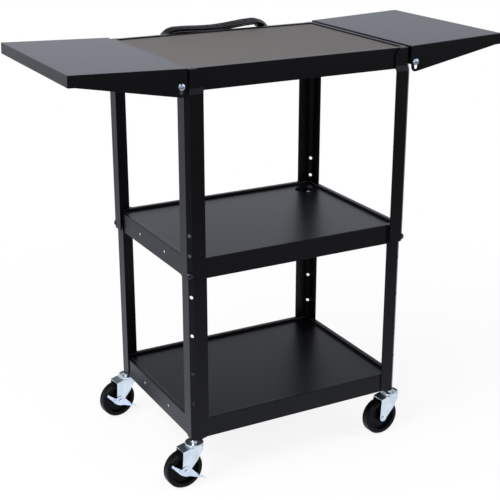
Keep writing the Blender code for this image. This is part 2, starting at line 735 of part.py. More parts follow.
def leaf_mesh():
    """Make a leaf: a plate with an end flange, tapered side flanges and two lift slots."""
    inner = LEAF_EDGE_GAP - PIVOT_OUT
    outer = LEAF_REACH - PIVOT_OUT
    top = LEAF_TOP_ABOVE_PIVOT
    body = prism(leaf_outline(), -LEAF_FLANGE_OUT, LEAF_FLANGE_OUT, "y")
    rim = [e for e in body.edges
           if all(abs(v.co.z - top) < EDGE_ROUND for v in e.verts)
           or all(abs(v.co.x - outer) < EDGE_ROUND for v in e.verts)]
    bmesh.ops.bevel(body, geom=rim, offset=EDGE_ROUND, segments=2, affect="EDGES", profile=0.5)

    below = -LEAF_BELOW_PIVOT - OVERRUN
    flange_half = HALF_Y - LEAF_INNER_FLANGE_MARGIN
    wide = prism(rectangle(inner + LEAF_SHEET, below, outer - LEAF_SHEET, top - LEAF_SHEET),
                 -LEAF_FLANGE_IN, LEAF_FLANGE_IN, "y")
    low = prism(rectangle(inner - OVERRUN, below, inner + 2 * LEAF_SHEET, top - LEAF_INNER_FLANGE),
                -LEAF_FLANGE_IN, LEAF_FLANGE_IN, "y")
    ends = []
    for side in (-1, 1):
        edges = sorted((side * flange_half, side * LEAF_FLANGE_IN))
        ends.append(prism(rectangle(inner - OVERRUN, below, inner + 2 * LEAF_SHEET,
                                    top - LEAF_SHEET), edges[0], edges[1], "y"))
    slot_half = PIVOT_RADIUS + GAP
    slot = arc(0.0, 0.0, slot_half, 0.0, math.pi, 8)
    slot += arc(0.0, -LEAF_LIFT, slot_half, math.pi, math.tau, 8)
    slot_tool = prism(slot, -LEAF_FLANGE_OUT - OVERRUN, LEAF_FLANGE_OUT + OVERRUN, "y")
    return combined("leaf", body, [
        ("DIFFERENCE", wide), ("DIFFERENCE", low), ("DIFFERENCE", joined(ends)),
        ("DIFFERENCE", slot_tool),
    ])


def bracket_mesh():
    """Make a pivot bracket for the +X +Y corner, about the pivot axis at the ear's plane.

    Its base lies on the leg's side face and its ear turns outward beside the leg's end face.
    """
    ear_out = LEAF_FLANGE_IN - GAP
    ear_in = ear_out - BRACKET_SHEET
    base_in = TOP_OUT + GAP - PIVOT_OUT
    base_out = base_in + BRACKET_SHEET
    low = JOGGLE_HIGH + GAP - PIVOT_Z
    high = low + BRACKET_HEIGHT
    radius = BRACKET_EAR_RADIUS
    ear = [(base_in, low)] + arc(0.0, 0.0, radius, -math.pi / 3, math.pi / 2, 8)
    ear.append((base_in, radius))
    body = prism(ear, ear_in, ear_out, "y")
    base = prism(rectangle(ear_out - BRACKET_WIDTH, low, ear_out, high), base_in, base_out, "x")
    hole = drill(PIVOT_RADIUS + GAP, 16, (0.0, ear_in, 0.0), (0, 1, 0), 4 * BRACKET_SHEET)
    return combined("leaf_bracket", body, [("UNION", base), ("DIFFERENCE", hole)])


def make_leaves(frame, paint):
    """Hang the two leaves on their brackets, pivot bolts and nuts."""
    leaf = leaf_mesh()
    bracket = bracket_mesh()
    ear_in = LEAF_FLANGE_IN - GAP - BRACKET_SHEET
    nut_seat = ear_in - GAP
    head_seat = LEAF_FLANGE_OUT + GAP
    shank = head_seat - nut_seat + PIVOT_NUT_HEIGHT + BOLT_END
    pin = bolt_mesh("leaf_pivot", PIVOT_HEAD_RADIUS, PIVOT_HEAD_HEIGHT, PIVOT_RADIUS, shank)
    bore = PIVOT_RADIUS + GAP
    bm = bmesh.new()
    bridge_loops(bm, [
        round_loop(bore, 0.0), hex_loop(NUT_FLAT_HALF, 0.0),
        hex_loop(NUT_FLAT_HALF, -PIVOT_NUT_HEIGHT), round_loop(bore, -PIVOT_NUT_HEIGHT),
    ], closed_path=True)
    nut = mesh_from(bm, "pivot_nut")
    for side, sign_x, facing in (("left", -1, math.pi), ("right", 1, 0.0)):
        axis = make_empty("axis_" + side + "_leaf", frame, (sign_x * PIVOT_X, 0.0, PIVOT_Z),
                          (0.0, -LEAF_TILT * sign_x, 0.0))
        add_object(side + "_leaf", leaf.copy(), paint["steel_leaf"], axis, (0.0, 0.0, 0.0),
                   (0.0, 0.0, facing))
        for end, sign_y in (("front", -1), ("rear", 1)):
            corner = end + "_" + side
            mesh = mirrored(bracket, sign_x, sign_y, "leaf_bracket_" + corner)
            add_object("leaf_bracket_" + corner, mesh, paint["bracket"], frame,
                       (sign_x * PIVOT_X, 0.0, PIVOT_Z))
            turn = (-sign_y * math.pi / 2, 0.0, 0.0)
            add_object("leaf_pivot_" + corner, pin.copy(), paint["zinc_bolt"], axis,
                       (0.0, sign_y * head_seat, 0.0), turn)
            add_object("pivot_nut_" + corner, nut.copy(), paint["zinc_nut"], axis,
                       (0.0, sign_y * nut_seat, 0.0), turn)
    for mesh in (leaf, bracket, pin, nut):
        bpy.data.meshes.remove(mesh)


def caster_mount_mesh():
    """Make a caster's kingpin and upper ball race, turned about the swivel axis."""
    low = FORK_TOP_Z + GAP
    high = low + RACE_HEIGHT
    head_top = FORK_TOP_Z - FORK_SHEET - GAP
    head_low = head_top - KINGPIN_HEAD_HEIGHT
    round_off = RACE_ROLL / 3
    hub_top = FORK_TOP_Z + MOUNT_HEIGHT
    profile = [
        (0.0, head_low), (KINGPIN_HEAD_RADIUS - round_off, head_low),
        (KINGPIN_HEAD_RADIUS, head_low + round_off), (KINGPIN_HEAD_RADIUS, head_top),
        (KINGPIN_RADIUS, head_top), (KINGPIN_RADIUS, low),
        (RACE_RADIUS - round_off, low), (RACE_RADIUS, low + round_off),
        (RACE_RADIUS, high - round_off), (RACE_RADIUS - round_off, high),
        (RACE_RADIUS - RACE_ROLL, high), (RACE_RADIUS - RACE_ROLL - round_off, high - RACE_DISH),
        (RACE_HUB_RADIUS + RACE_DISH, high - RACE_DISH), (RACE_HUB_RADIUS, high),
        (RACE_HUB_RADIUS, hub_top), (0.0, hub_top),
    ]
    mesh = mesh_from(turned(profile, 20), "caster_mount")
    smooth(mesh)
    return mesh


def fork_side_outline():
    """Give the side view of a caster fork: X trails behind the swivel axis, Z up."""
    axle_z = WHEEL_RADIUS
    front_z = FORK_TOP_Z - FORK_FRONT_DEPTH
    eye = arc(WHEEL_TRAIL, axle_z, FORK_EYE_RADIUS, 0.0, -FORK_EYE_TURN, 10)
    end_x, end_z = eye[-1]
    front = []
    for share_x, share_z in reversed(FORK_FRONT_CURVE_SHARES):
        front.append((-FORK_FRONT_RADIUS + (end_x + FORK_FRONT_RADIUS) * share_x,
                      front_z + (end_z - front_z) * share_z))
    return [(-FORK_FRONT_RADIUS, FORK_TOP_Z), (FORK_FLAT_REAR, FORK_TOP_Z),
            (FORK_REAR, FORK_TOP_Z - FORK_REAR_DROP)] + eye + front + [
                (-FORK_FRONT_RADIUS, front_z)]


def fork_mesh():
    """Make a stamped caster fork: a round-fronted cap, a sloping rear shelf and two legs."""
    half = FORK_HALF_WIDTH
    arc_end = math.asin(half / FORK_FRONT_RADIUS)
    rear = WHEEL_TRAIL + FORK_EYE_RADIUS + OVERRUN
    plan = [(rear, half)] + arc(0.0, 0.0, FORK_FRONT_RADIUS, math.pi - arc_end,
                                math.pi + arc_end, 12) + [(rear, -half)]
    low = WHEEL_RADIUS - FORK_EYE_RADIUS - OVERRUN
    body = prism(plan, low, FORK_TOP_Z + OVERRUN)
    side = prism(fork_side_outline(), -half - OVERRUN, half + OVERRUN, "y")

    cap_low = FORK_TOP_Z - FORK_SHEET
    slope = FORK_REAR_DROP / (FORK_REAR - FORK_FLAT_REAR)
    wall_x = -math.sqrt(FORK_FRONT_RADIUS ** 2 - FORK_INSIDE ** 2) + FORK_SHEET
    room = [(wall_x, cap_low), (FORK_FLAT_REAR, cap_low),
            (rear + OVERRUN, cap_low - slope * (rear + OVERRUN - FORK_FLAT_REAR)),
            (rear + OVERRUN, low - OVERRUN), (wall_x, low - OVERRUN)]
    inside = prism(room, -FORK_INSIDE, FORK_INSIDE, "y")
    kingpin = drill(KINGPIN_RADIUS + GAP, 16, (0.0, 0.0, cap_low), (0, 0, 1), 4 * FORK_SHEET)
    axle = drill(AXLE_HOLE_RADIUS, 16, (WHEEL_TRAIL, 0.0, WHEEL_RADIUS), (0, 1, 0), 4 * half)
    return combined("caster_fork", body, [
        ("INTERSECT", side), ("DIFFERENCE", inside), ("DIFFERENCE", joined([kingpin, axle])),
    ])


def wheel_mesh():
    """Make a wheel: rounded tread, thick rim, recessed web and a bored hub, about Z."""
    half = WHEEL_WIDTH / 2
    web = WHEEL_WEB_WIDTH / 2
    rim = WHEEL_RADIUS - WHEEL_RIM_DEPTH
    round_in = WHEEL_TREAD_ROUND
    crown = []
    for turn in (WHEEL_TREAD_TURN, 0.0):
        crown.append((WHEEL_RADIUS - round_in * (1 - math.cos(turn)),
                      half - round_in + round_in * math.sin(turn)))
    upper = [(AXLE_HOLE_RADIUS, WHEEL_HUB_HALF), (WHEEL_HUB_RADIUS, WHEEL_HUB_HALF),
             (WHEEL_HUB_RADIUS + GAP, web), (rim - round_in / 2, web), (rim, half)] + crown
    lower = [(r, -z) for r, z in reversed(upper)]
    mesh = mesh_from(turned_ring(upper + lower, 28), "wheel")
    smooth(mesh, 28.0)
    return mesh


def axle_mesh(name, extra):
    """Make an axle rivet about Z, with room beyond one fork leg for a brake lever."""
    seat = FORK_HALF_WIDTH + GAP
    far = seat + extra
    edge = AXLE_HEAD_HEIGHT / 3
    profile = [
        (0.0, -seat - AXLE_HEAD_HEIGHT), (AXLE_HEAD_RADIUS - edge, -seat - AXLE_HEAD_HEIGHT),
        (AXLE_HEAD_RADIUS, -seat - AXLE_HEAD_HEIGHT + edge), (AXLE_HEAD_RADIUS, -seat),
        (AXLE_RADIUS, -seat), (AXLE_RADIUS, far), (AXLE_HEAD_RADIUS, far),
        (AXLE_HEAD_RADIUS, far + AXLE_HEAD_HEIGHT - edge),
        (AXLE_HEAD_RADIUS - edge, far + AXLE_HEAD_HEIGHT), (0.0, far + AXLE_HEAD_HEIGHT),
    ]
    mesh = mesh_from(turned(profile, 10), name)
    smooth(mesh)
    return mesh


def lever_mesh():
    """Make a side brake lever about its axle: an S-shaped plate with two turned-out tabs.

    X runs along the lever to its raised rear end, Z across it, and the plate starts at Y = 0.
    """
    outline = [(LEVER_REAR * a, LEVER_BOSS * b) for a, b in LEVER_REAR_SHARES]
    outline += [(-LEVER_FRONT * a, LEVER_BOSS * b) for a, b in LEVER_FRONT_SHARES]
    outline += [(LEVER_REAR * a, LEVER_BOSS * b) for a, b in LEVER_UNDER_SHARES]
    plate = prism(outline, 0.0, LEVER_SHEET, "y")
    rear_edge = LEVER_BOSS * LEVER_REAR_SHARES[1][1]
    rear_tip = LEVER_BOSS * LEVER_REAR_SHARES[0][1]
    inner = LEVER_REAR * (1 - LEVER_REAR_TAB_SHARE)
    rise = (rear_tip - rear_edge) / (LEVER_REAR * (1 - LEVER_REAR_SHARES[1][0]))
    start = rear_edge + rise * (inner - LEVER_REAR * LEVER_REAR_SHARES[1][0])
    drop = LEVER_SHEET / 2
    inset = LEVER_SHEET / 4
    rear_tab = [(inner, start - drop), (LEVER_REAR - inset, rear_tip - drop),
                (LEVER_REAR - inset, rear_tip + drop), (inner, start + drop)]
    front_z = 0.0
    front = -LEVER_FRONT
    reach = LEVER_FRONT * LEVER_FRONT_TAB_SHARE
    front_tab = rectangle(front + inset, front_z - drop, front + reach, front_z + drop)
    tabs = [prism(t, LEVER_SHEET / 2, LEVER_TAB_WIDTH, "y") for t in (rear_tab, front_tab)]
    hole = drill(AXLE_HOLE_RADIUS, 16, (0.0, 0.0, 0.0), (0, 1, 0), 4 * LEVER_TAB_WIDTH)
    return combined("brake_lever", plate, [("UNION", joined(tabs)), ("DIFFERENCE", hole)])


def make_casters(root, paint):
    """Set a swivel caster under each leg, with a side brake on the left pair."""
    mount = caster_mount_mesh()
    fork = fork_mesh()
    wheel = wheel_mesh()
    lever = lever_mesh()
    for corner, (sign_x, sign_y) in CORNERS.items():
        place = (sign_x * (HALF_X - CASTER_IN_X), sign_y * (HALF_Y - CASTER_IN_Y), 0.0)
        add_object("caster_mount_" + corner, mount.copy(), paint["zinc"], root, place)
        swivel = make_empty("axis_caster_" + corner, root, place,
                            (0.0, 0.0, CASTER_HEADINGS[corner]))
        add_object("caster_fork_" + corner, fork.copy(), paint["zinc"], swivel)
        braked = sign_x < 0
        extra = LEVER_SHEET + GAP if braked else 0.0
        at_axle = (WHEEL_TRAIL, 0.0, WHEEL_RADIUS)
        across = (-math.pi / 2, 0.0, 0.0)
        add_object("caster_axle_" + corner, axle_mesh("axle_" + corner, extra), paint["zinc_axle"],
                   swivel, at_axle, across)
        add_object("wheel_" + corner, wheel.copy(), paint["wheel"], swivel, at_axle, across)
        if braked:
            add_object("brake_lever_" + corner, lever.copy(), paint["zinc_lever"], swivel,
                       (WHEEL_TRAIL, FORK_HALF_WIDTH + GAP, WHEEL_RADIUS),
                       (0.0, -LEVER_SLOPE, 0.0))
    for mesh in (mount, fork, wheel, lever):
        bpy.data.meshes.remove(mesh)


def make_outlet_strip(frame, paint):
    """Fix the outlet strip to the back of the top shelf, with its three sockets facing out."""
    near = HALF_Y + GAP
    far = near + STRIP_DEPTH
    half = STRIP_LENGTH / 2
    box = prism(rectangle(-half, -STRIP_HEIGHT / 2, half, STRIP_HEIGHT / 2), near, far, "y")
    outer = [e for e in box.edges if all(v.co.y > far - GAP for v in e.verts)
             or abs(e.verts[0].co.y - e.verts[1].co.y) > GAP]
    bmesh.ops.bevel(box, geom=outer, offset=STRIP_CORNER, segments=2, affect="EDGES", profile=0.5)
    room = half - STRIP_WALL
    high = STRIP_HEIGHT / 2 - STRIP_WALL
    inside = prism(rectangle(-room, -high, room, high), near - OVERRUN, far - STRIP_WALL, "y")
    housing = combined("outlet_housing", box, [("DIFFERENCE", inside)])
    add_object("outlet_housing", housing, paint["housing"], frame, (HANK_X, 0.0, STRIP_Z))

    face_low = far + GAP
    face_high = face_low + FACE_THICKNESS
    half_x = half - FACE_MARGIN - STRIP_CORNER
    half_z = STRIP_HEIGHT / 2 - FACE_MARGIN
    plate = prism(rectangle(-half_x, -half_z, half_x, half_z), face_low, face_high, "y")
    pads = []
    slots = []
    pad_top = face_high + OUTLET_PAD
    for i in range(OUTLET_COUNT):
        x = (i - (OUTLET_COUNT - 1) / 2) * OUTLET_PITCH
        bulge = math.acos(OUTLET_FLAT_HALF / OUTLET_RADIUS)
        pad = arc(x, 0.0, OUTLET_RADIUS, -math.pi / 2 + bulge, math.pi / 2 - bulge, 6)
        pad += arc(x, 0.0, OUTLET_RADIUS, math.pi / 2 + bulge, math.pi * 3 / 2 - bulge, 6)
        pads.append(prism(pad, face_low + FACE_THICKNESS / 2, pad_top, "y"))
        for side in (-1, 1):
            slot_x = x + side * SLOT_SPACING / 2
            slots.append(prism(rectangle(slot_x - SLOT_WIDTH / 2, SLOT_RISE - SLOT_HEIGHT / 2,
                                         slot_x + SLOT_WIDTH / 2, SLOT_RISE + SLOT_HEIGHT / 2),
                               pad_top - SLOT_DEPTH, pad_top + OVERRUN, "y"))
        slots.append(prism(circle(x, -GROUND_DROP, GROUND_RADIUS, 12),
                           pad_top - SLOT_DEPTH, pad_top + OVERRUN, "y"))
    face = combined("outlet_face", plate, [("UNION", joined(pads)), ("DIFFERENCE", joined(slots))])
    add_object("outlet_face", face, paint["socket"], frame, (HANK_X, 0.0, STRIP_Z))


def make_cord_hooks(frame, paint):
    """Make the two rimmed saddles that the cord is wound on."""
    near = HALF_Y + GAP
    far = HOOK_END_Y + HOOK_SHEET
    inside = HOOK_RADIUS - HOOK_SHEET
    section = [(inside, near), (HOOK_RADIUS, near), (HOOK_RADIUS, HOOK_END_Y),
               (HOOK_RADIUS + HOOK_RIM, HOOK_END_Y), (HOOK_RADIUS + HOOK_RIM, far), (inside, far)]
    steps = 12
    for side, sign_x in (("left", -1), ("right", 1)):
        loops = []
        for i in range(steps + 1):
            turn = HOOK_HALF_SPAN * (2 * i / steps - 1)
            loops.append([(sign_x * r * math.cos(turn), y, r * math.sin(turn))
                          for r, y in section])
        saddle = bmesh.new()
        bridge_loops(saddle, loops)
        room = HANK_HALF_RUN - STRIP_LENGTH / 2
        ends = sorted((-sign_x * (room - GAP), sign_x * (HOOK_RADIUS - HOOK_SHEET / 2)))
        tab = prism(rectangle(ends[0], -HOOK_TAB_HEIGHT / 2, ends[1], HOOK_TAB_HEIGHT / 2),
                    near, near + HOOK_SHEET, "y")
        mesh = combined("cord_hook_" + side, saddle, [("UNION", tab)])
        smooth(mesh)
        along = sign_x * HANK_HALF_RUN
        add_object("cord_hook_" + side, mesh, paint["hook"], frame,
                   (HANK_X + along * math.cos(HANK_TILT), 0.0, HANK_Z + along * math.sin(HANK_TILT)))


def run_sag(share):
    """Give how far a run between the hooks hangs, a share of the way along it."""
    return HANK_SAG * (1 - math.cos(math.tau * share)) / 2


def track_point(step, reach):
    """Give the place on an oval track, in the hank's plane, after so many steps.

    A turn starts at the right end of the lower run, goes left, up, right and down.
    """
    k = step % STEPS_PER_TURN
    half = HANK_HALF_RUN
    if k <= RUN_STEPS:
        return half - 2 * half * k / RUN_STEPS, -reach - run_sag(k / RUN_STEPS)
    if k <= RUN_STEPS + ARC_STEPS:
        turn = -math.pi / 2 - math.pi * (k - RUN_STEPS) / ARC_STEPS
        return -half + reach * math.cos(turn), reach * math.sin(turn)
    if k <= 2 * RUN_STEPS + ARC_STEPS:
        share = (k - RUN_STEPS - ARC_STEPS) / RUN_STEPS
        return -half + 2 * half * share, reach - run_sag(share)
    turn = math.pi / 2 - math.pi * (k - 2 * RUN_STEPS - ARC_STEPS) / ARC_STEPS
    return half + reach * math.cos(turn), reach * math.sin(turn)


def winding_points():
    """Wind the cord: in and out again at a steady rate, climbing a layer at each reversal."""
    points = []
    for step in range(FIRST_STEP, LAST_STEP + 1):
        turns = step / STEPS_PER_TURN
        band = turns / TURNS_PER_LAYER
        within = band % 1.0
        inward = int(band) % 2 == 0
        reach_turns = TURNS_PER_LAYER * ((1 - within) if inward else within)
        reach = INNER_TRACK + CORD_PITCH * reach_turns
        layer = 0.0
        for i in range(1, LAYER_COUNT):
            past = (turns - i * TURNS_PER_LAYER) * 2 + 0.5
            layer += min(1.0, max(0.0, past))
        u, v = track_point(step, reach)
        x = HANK_X + u * math.cos(HANK_TILT) - v * math.sin(HANK_TILT)
        z = HANK_Z + u * math.sin(HANK_TILT) + v * math.cos(HANK_TILT)
        points.append(Vector((x, HANK_Y - LAYERS_DEPTH / 2 + layer * CORD_PITCH, z)))
    return points


def hermite(start, start_pull, end, end_pull, steps):
    """Give points on one smooth curve between two places and directions, ends left out."""
    points = []
    for i in range(1, steps):
        t = i / steps
        points.append(start * (2 * t ** 3 - 3 * t ** 2 + 1) + start_pull * (t ** 3 - 2 * t ** 2 + t)
                      + end * (3 * t ** 2 - 2 * t ** 3) + end_pull * (t ** 3 - t ** 2))
    return points


def cord_points():
    """Give the whole cord: out of the gland, round the hooks, and down to the plug."""
    gland_end = Vector((GLAND_X, HALF_Y + GLAND_OUT, STRIP_BOTTOM - GLAND_LENGTH - 2 * GAP))
    straight = gland_end - Vector((0.0, 0.0, CORD_DIAMETER))
    wound = winding_points()
    lead = []
    for i in range(1, LEAD_BEND_STEPS + 1):
        turn = math.pi / 2 * i / LEAD_BEND_STEPS
        lead.append(straight + LEAD_BEND_RADIUS * Vector((math.cos(turn) - 1, 0.0, -math.sin(turn))))
    reach = (wound[0] - lead[-1]).length
    left = Vector((-1.0, 0.0, 0.0))
    heading = (wound[1] - wound[0]).normalized()
    lead += hermite(lead[-1], left * reach, wound[0], heading * reach, LEAD_RISE_STEPS)
    down = Vector((0.0, 0.0, -1.0))
    tail = []
    for i in range(1, TAIL_STEPS + 1):
        tail.append(wound[-1] + down * TAIL_LENGTH * i / TAIL_STEPS)
    return [gland_end, straight] + lead + wound + tail


def least_gap(points, diameter):
    """Measure the least clear distance of a tube to itself, away from neighbouring points."""
    fine = []
    for a, b in zip(points, points[1:]):
        fine += [a.lerp(b, i / 4) for i in range(4)]
    travelled = [0.0]
    for a, b in zip(fine, fine[1:]):
        travelled.append(travelled[-1] + (b - a).length)
    least = None
    for i, a in enumerate(fine):
        for j in range(i + 1, len(fine)):
            if travelled[j] - travelled[i] < 6 * diameter:
                continue
            distance = (fine[j] - a).length - diameter
            if least is None or distance < least:
                least = distance
    return least


def tightest_bend(points):
    """Give the least radius of a circle through three neighbouring points of a route."""
    least = None
    for a, b, c in zip(points, points[1:], points[2:]):
        area = (b - a).cross(c - a).length / 2
        if area > 0.0:
            radius = (b - a).length * (c - b).length * (c - a).length / (4 * area)
            least = radius if least is None else min(least, radius)
    return least


def make_cord(frame, paint):
    """Lay the cord as one unbroken tube, with its gland and its plug."""
    points = cord_points()
    curve = bpy.data.curves.new("power_cord", "CURVE")
    curve.dimensions = "3D"
    curve.bevel_depth = CORD_DIAMETER / 2
    curve.bevel_resolution = 1
    curve.use_fill_caps = True
    spline = curve.splines.new("POLY")
    spline.points.add(len(points) - 1)
    for target, point in zip(spline.points, points):
        target.co = (point.x, point.y, point.z, 1.0)
    add_cord = bpy.data.objects.new("power_cord", curve)
    bpy.context.scene.collection.objects.link(add_cord)
    add_cord.parent = frame
    curve.materials.append(paint["cord"])
    length = sum((b - a).length for a, b in zip(points, points[1:]))
    print("cord length m", round(length, 3), "of", round(CORD_LENGTH_TARGET, 3))
    print("cord least gap to itself mm", round(1000 * least_gap(points, CORD_DIAMETER), 3))
    print("cord tightest bend mm", round(1000 * tightest_bend(points), 1))

    ring = GLAND_LENGTH / 8
    profile = [
        (0.0, 0.0), (GLAND_RADIUS, 0.0), (GLAND_RADIUS, -ring),
        (GLAND_RADIUS - GAP, -2 * ring), (GLAND_TIP_RADIUS, -GLAND_LENGTH),
        (0.0, -GLAND_LENGTH),
    ]
    gland = mesh_from(turned(profile, 12), "cord_gland")
    smooth(gland)
    add_object("cord_gland", gland, paint["cord_rubber"], frame,
               (GLAND_X, HALF_Y + GLAND_OUT, STRIP_BOTTOM - GAP))
    make_plug(points[-1], frame, paint)


def plug_loop(half_x, half_y, z, power=1):
    """Give a rounded rectangle as sixteen points: a power of 1 is an ellipse, less is squarer."""
    points = []
    for i in range(16):
        turn = math.tau * i / 16
        c = math.cos(turn)
        s = math.sin(turn)
        points.append((half_x * math.copysign(abs(c) ** power, c),
                       half_y * math.copysign(abs(s) ** power, s), z))
    return points


def make_plug(cord_end, frame, paint):
    """Make the moulded plug that hangs from the cord's end, blades down."""
    neck = PLUG_NECK_LENGTH
    body = neck + PLUG_LENGTH
    half_x = PLUG_WIDTH / 2
    half_y = PLUG_DEPTH / 2
    slim = PLUG_NECK_RADIUS
    round_off = PLUG_NECK_LENGTH / 5
    square = PLUG_BODY_SHARE
    loops = [
        plug_loop(slim, slim, 0.0), plug_loop(slim, slim, -neck),
        plug_loop((slim + half_x) / 2, (slim + half_y) / 2, -neck - round_off,
                  PLUG_SHOULDER_SHARE),
        plug_loop(half_x - round_off, half_y - round_off, -neck - 3 * round_off, square),
        plug_loop(half_x, half_y, -neck - 6 * round_off, square),
        plug_loop(half_x, half_y, -body + round_off, square),
        plug_loop(half_x - round_off / 2, half_y - round_off / 2, -body, square),
    ]
    bm = bmesh.new()
    bridge_loops(bm, loops)
    prongs = []
    root = -body + BLADE_SHEET
    for side in (-1, 1):
        x = side * BLADE_SPACING / 2
        y = -BLADE_WIDTH / 2 + GROUND_PIN_RADIUS
        prongs.append(prism(rectangle(x - BLADE_SHEET / 2, y - BLADE_WIDTH / 2,
                                      x + BLADE_SHEET / 2, y + BLADE_WIDTH / 2),
                            -body - BLADE_LENGTH, root))
    prongs.append(prism(circle(0.0, half_y - 2 * GROUND_PIN_RADIUS, GROUND_PIN_RADIUS, 10),
                        -body - GROUND_PIN_LENGTH, root))
    plug = combined("plug", bm, [("UNION", joined(prongs))])
    smooth(plug, 40.0)
    place = (cord_end.x, cord_end.y, cord_end.z - GAP)
    add_object("plug", plug, paint["cord_rubber"], frame, place)


def make_paints():
    """Make one material for each finish on the cart."""
    return {
        "steel": make_material("black_powder_coat", "1B1B1F", 0.48),
        "steel_middle": make_material("black_powder_coat_middle", "26272A", 0.48),
        "steel_bottom": make_material("black_powder_coat_bottom", "1E1F22", 0.50),
        "steel_leg": make_material("black_powder_coat_leg", "232327", 0.50),
        "steel_leaf": make_material("black_powder_coat_leaf", "202024", 0.42),
        "bracket": make_material("black_powder_coat_bracket", "1A1A1D", 0.50),
        "bolt": make_material("black_oxide_bolt", "0E0E10", 0.30, 0.6),
        "zinc": make_material("zinc_plated_steel", "C9D2D8", 0.30, 1.0),
        "zinc_bolt": make_material("zinc_plated_bolt", "D0D8DE", 0.25, 1.0),
        "zinc_nut": make_material("zinc_plated_nut", "BFC7CC", 0.35, 1.0),
        "zinc_axle": make_material("zinc_plated_rivet", "C4CCD2", 0.30, 1.0),
        "zinc_lever": make_material("blue_zinc_lever", "BCC8DA", 0.28, 1.0),
        "wheel": make_material("black_moulded_wheel", "1A191B", 0.45),
        "housing": make_material("black_painted_housing", "161618", 0.45),
        "socket": make_material("black_nylon_socket", "101012", 0.35),
        "hook": make_material("black_painted_hook", "18181A", 0.45),
        "cord": make_material("black_pvc_cord", "121214", 0.40),
        "cord_rubber": make_material("black_moulded_plug", "131315", 0.45),
    }


def main():
    """Build the whole cart."""
    clear_scene()
    paint = make_paints()
    rubber = make_material("grey_ribbed_mat", "6F6C6E", 0.80)
    root = make_empty("cart", None, (0.0, CENTRE_Y, 0.0))
    frame = make_empty("upper_frame", root, (0.0, 0.0, 0.0))
    make_shelves(root, frame, paint, rubber)
    make_legs(root, frame, paint)
    make_leg_bolts(root, frame, paint)
    make_leaves(frame, paint)
    make_casters(root, paint)
    make_outlet_strip(frame, paint)
    make_cord_hooks(frame, paint)
    make_cord(frame, paint)


main()
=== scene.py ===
# %% [markdown]
# A steel utility cart, photographed in a white studio. We load the frame first, because every
# later step hangs something on it.

# %% Load the frame
import math

import bpy
from mathutils import Matrix, Vector


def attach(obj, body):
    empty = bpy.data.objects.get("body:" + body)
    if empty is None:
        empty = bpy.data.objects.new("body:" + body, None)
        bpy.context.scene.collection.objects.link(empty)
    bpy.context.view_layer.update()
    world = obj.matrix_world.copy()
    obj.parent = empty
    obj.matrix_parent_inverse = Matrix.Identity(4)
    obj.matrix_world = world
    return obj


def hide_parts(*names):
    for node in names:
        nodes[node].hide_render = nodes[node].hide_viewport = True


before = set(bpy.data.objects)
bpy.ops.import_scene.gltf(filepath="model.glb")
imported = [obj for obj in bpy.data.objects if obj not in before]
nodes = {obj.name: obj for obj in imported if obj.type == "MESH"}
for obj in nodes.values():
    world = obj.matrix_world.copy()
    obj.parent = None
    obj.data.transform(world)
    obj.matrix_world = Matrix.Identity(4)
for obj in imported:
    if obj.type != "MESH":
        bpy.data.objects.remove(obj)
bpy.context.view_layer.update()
print("pieces in the frame:", len(nodes))

# %% [markdown]
# A few sizes of the cart come up again and again, all in metres. The shelves are 24 by 18 inches.
# The cord behind them reaches further than anything in front, so the middle of the shelves lies
# a little forward of the frame's own middle. Two pieces that sit on each other are 0.3 mm apart.

# %% Main sizes
SHELF_HALF_X = 0.3048
SHELF_HALF_Y = 0.2286
CENTRE_Y = -0.0092
SEAT = 0.0003
print("shelves in mm:", round(2000 * SHELF_HALF_X), "by", round(2000 * SHELF_HALF_Y))

# %% [markdown]
# The camera comes next, so that each later render can be set beside the photograph. A camera has
# a place, a direction and a focal length. These came from matching the corners of the three
# shelves, at the size such shelves have, to their places in the picture. Blender's camera looks
# along its own -Z, so it is tipped up by 90 degrees less the downward tilt, then turned about Z.

# %% Camera
PICTURE_WIDTH = 500
FOCAL_PIXELS = 1157.7
SENSOR = 36.0
CAMERA_PLACE = (-1.4065, -2.5688 + CENTRE_Y, 1.5665)
DOWNWARD_TILT = 19.835
HEADING = -28.367

camera_data = bpy.data.cameras.new("studio_camera")
camera_data.sensor_width = SENSOR
camera_data.lens = FOCAL_PIXELS * SENSOR / PICTURE_WIDTH
camera = bpy.data.objects.new("studio_camera", camera_data)
bpy.context.scene.collection.objects.link(camera)
camera.location = CAMERA_PLACE
camera.rotation_euler = (math.radians(90 - DOWNWARD_TILT), 0.0, math.radians(HEADING))
bpy.context.scene.camera = camera
print("lens in mm:", round(camera_data.lens, 2))

# %% [markdown]
# The power cord is a round PVC lead, 8 mm thick and about 15 feet long, wound on two hooks behind
# the top shelf. A free cord is best drawn as a curve with a round bevel: its line can be worked
# out turn by turn, and its length measured. The winding goes in and out again at a steady rate
# and climbs to the next layer each time it reverses, as a hand lays it. A turn is two half
# circles round the hooks and two runs between them, which hang a little under their own weight.
# The steps count round the track, 24 to a turn: 4 along each run and 8 round each hook.

# %% The line of the wound cord
CORD_DIAMETER = 0.0080
CORD_PITCH = 0.0086
HANK_X = 0.011
HANK_Y = SHELF_HALF_Y + 0.030
HANK_Z = 1.030
HANK_TILT = math.radians(1.3)
HANK_SAG = 0.0060
HALF_RUN = 0.118
INNER_TRACK = 0.0383
RUN_STEPS = 4
ARC_STEPS = 8
TURN_STEPS = 2 * (RUN_STEPS + ARC_STEPS)
TURNS_PER_LAYER = 1.5
LAYERS = 4
FIRST_STEP = 3
LAST_STEP = 140


def run_sag(share):
    """Give how far a run hangs, a share of the way between the hooks."""
    return HANK_SAG * (1 - math.cos(math.tau * share)) / 2


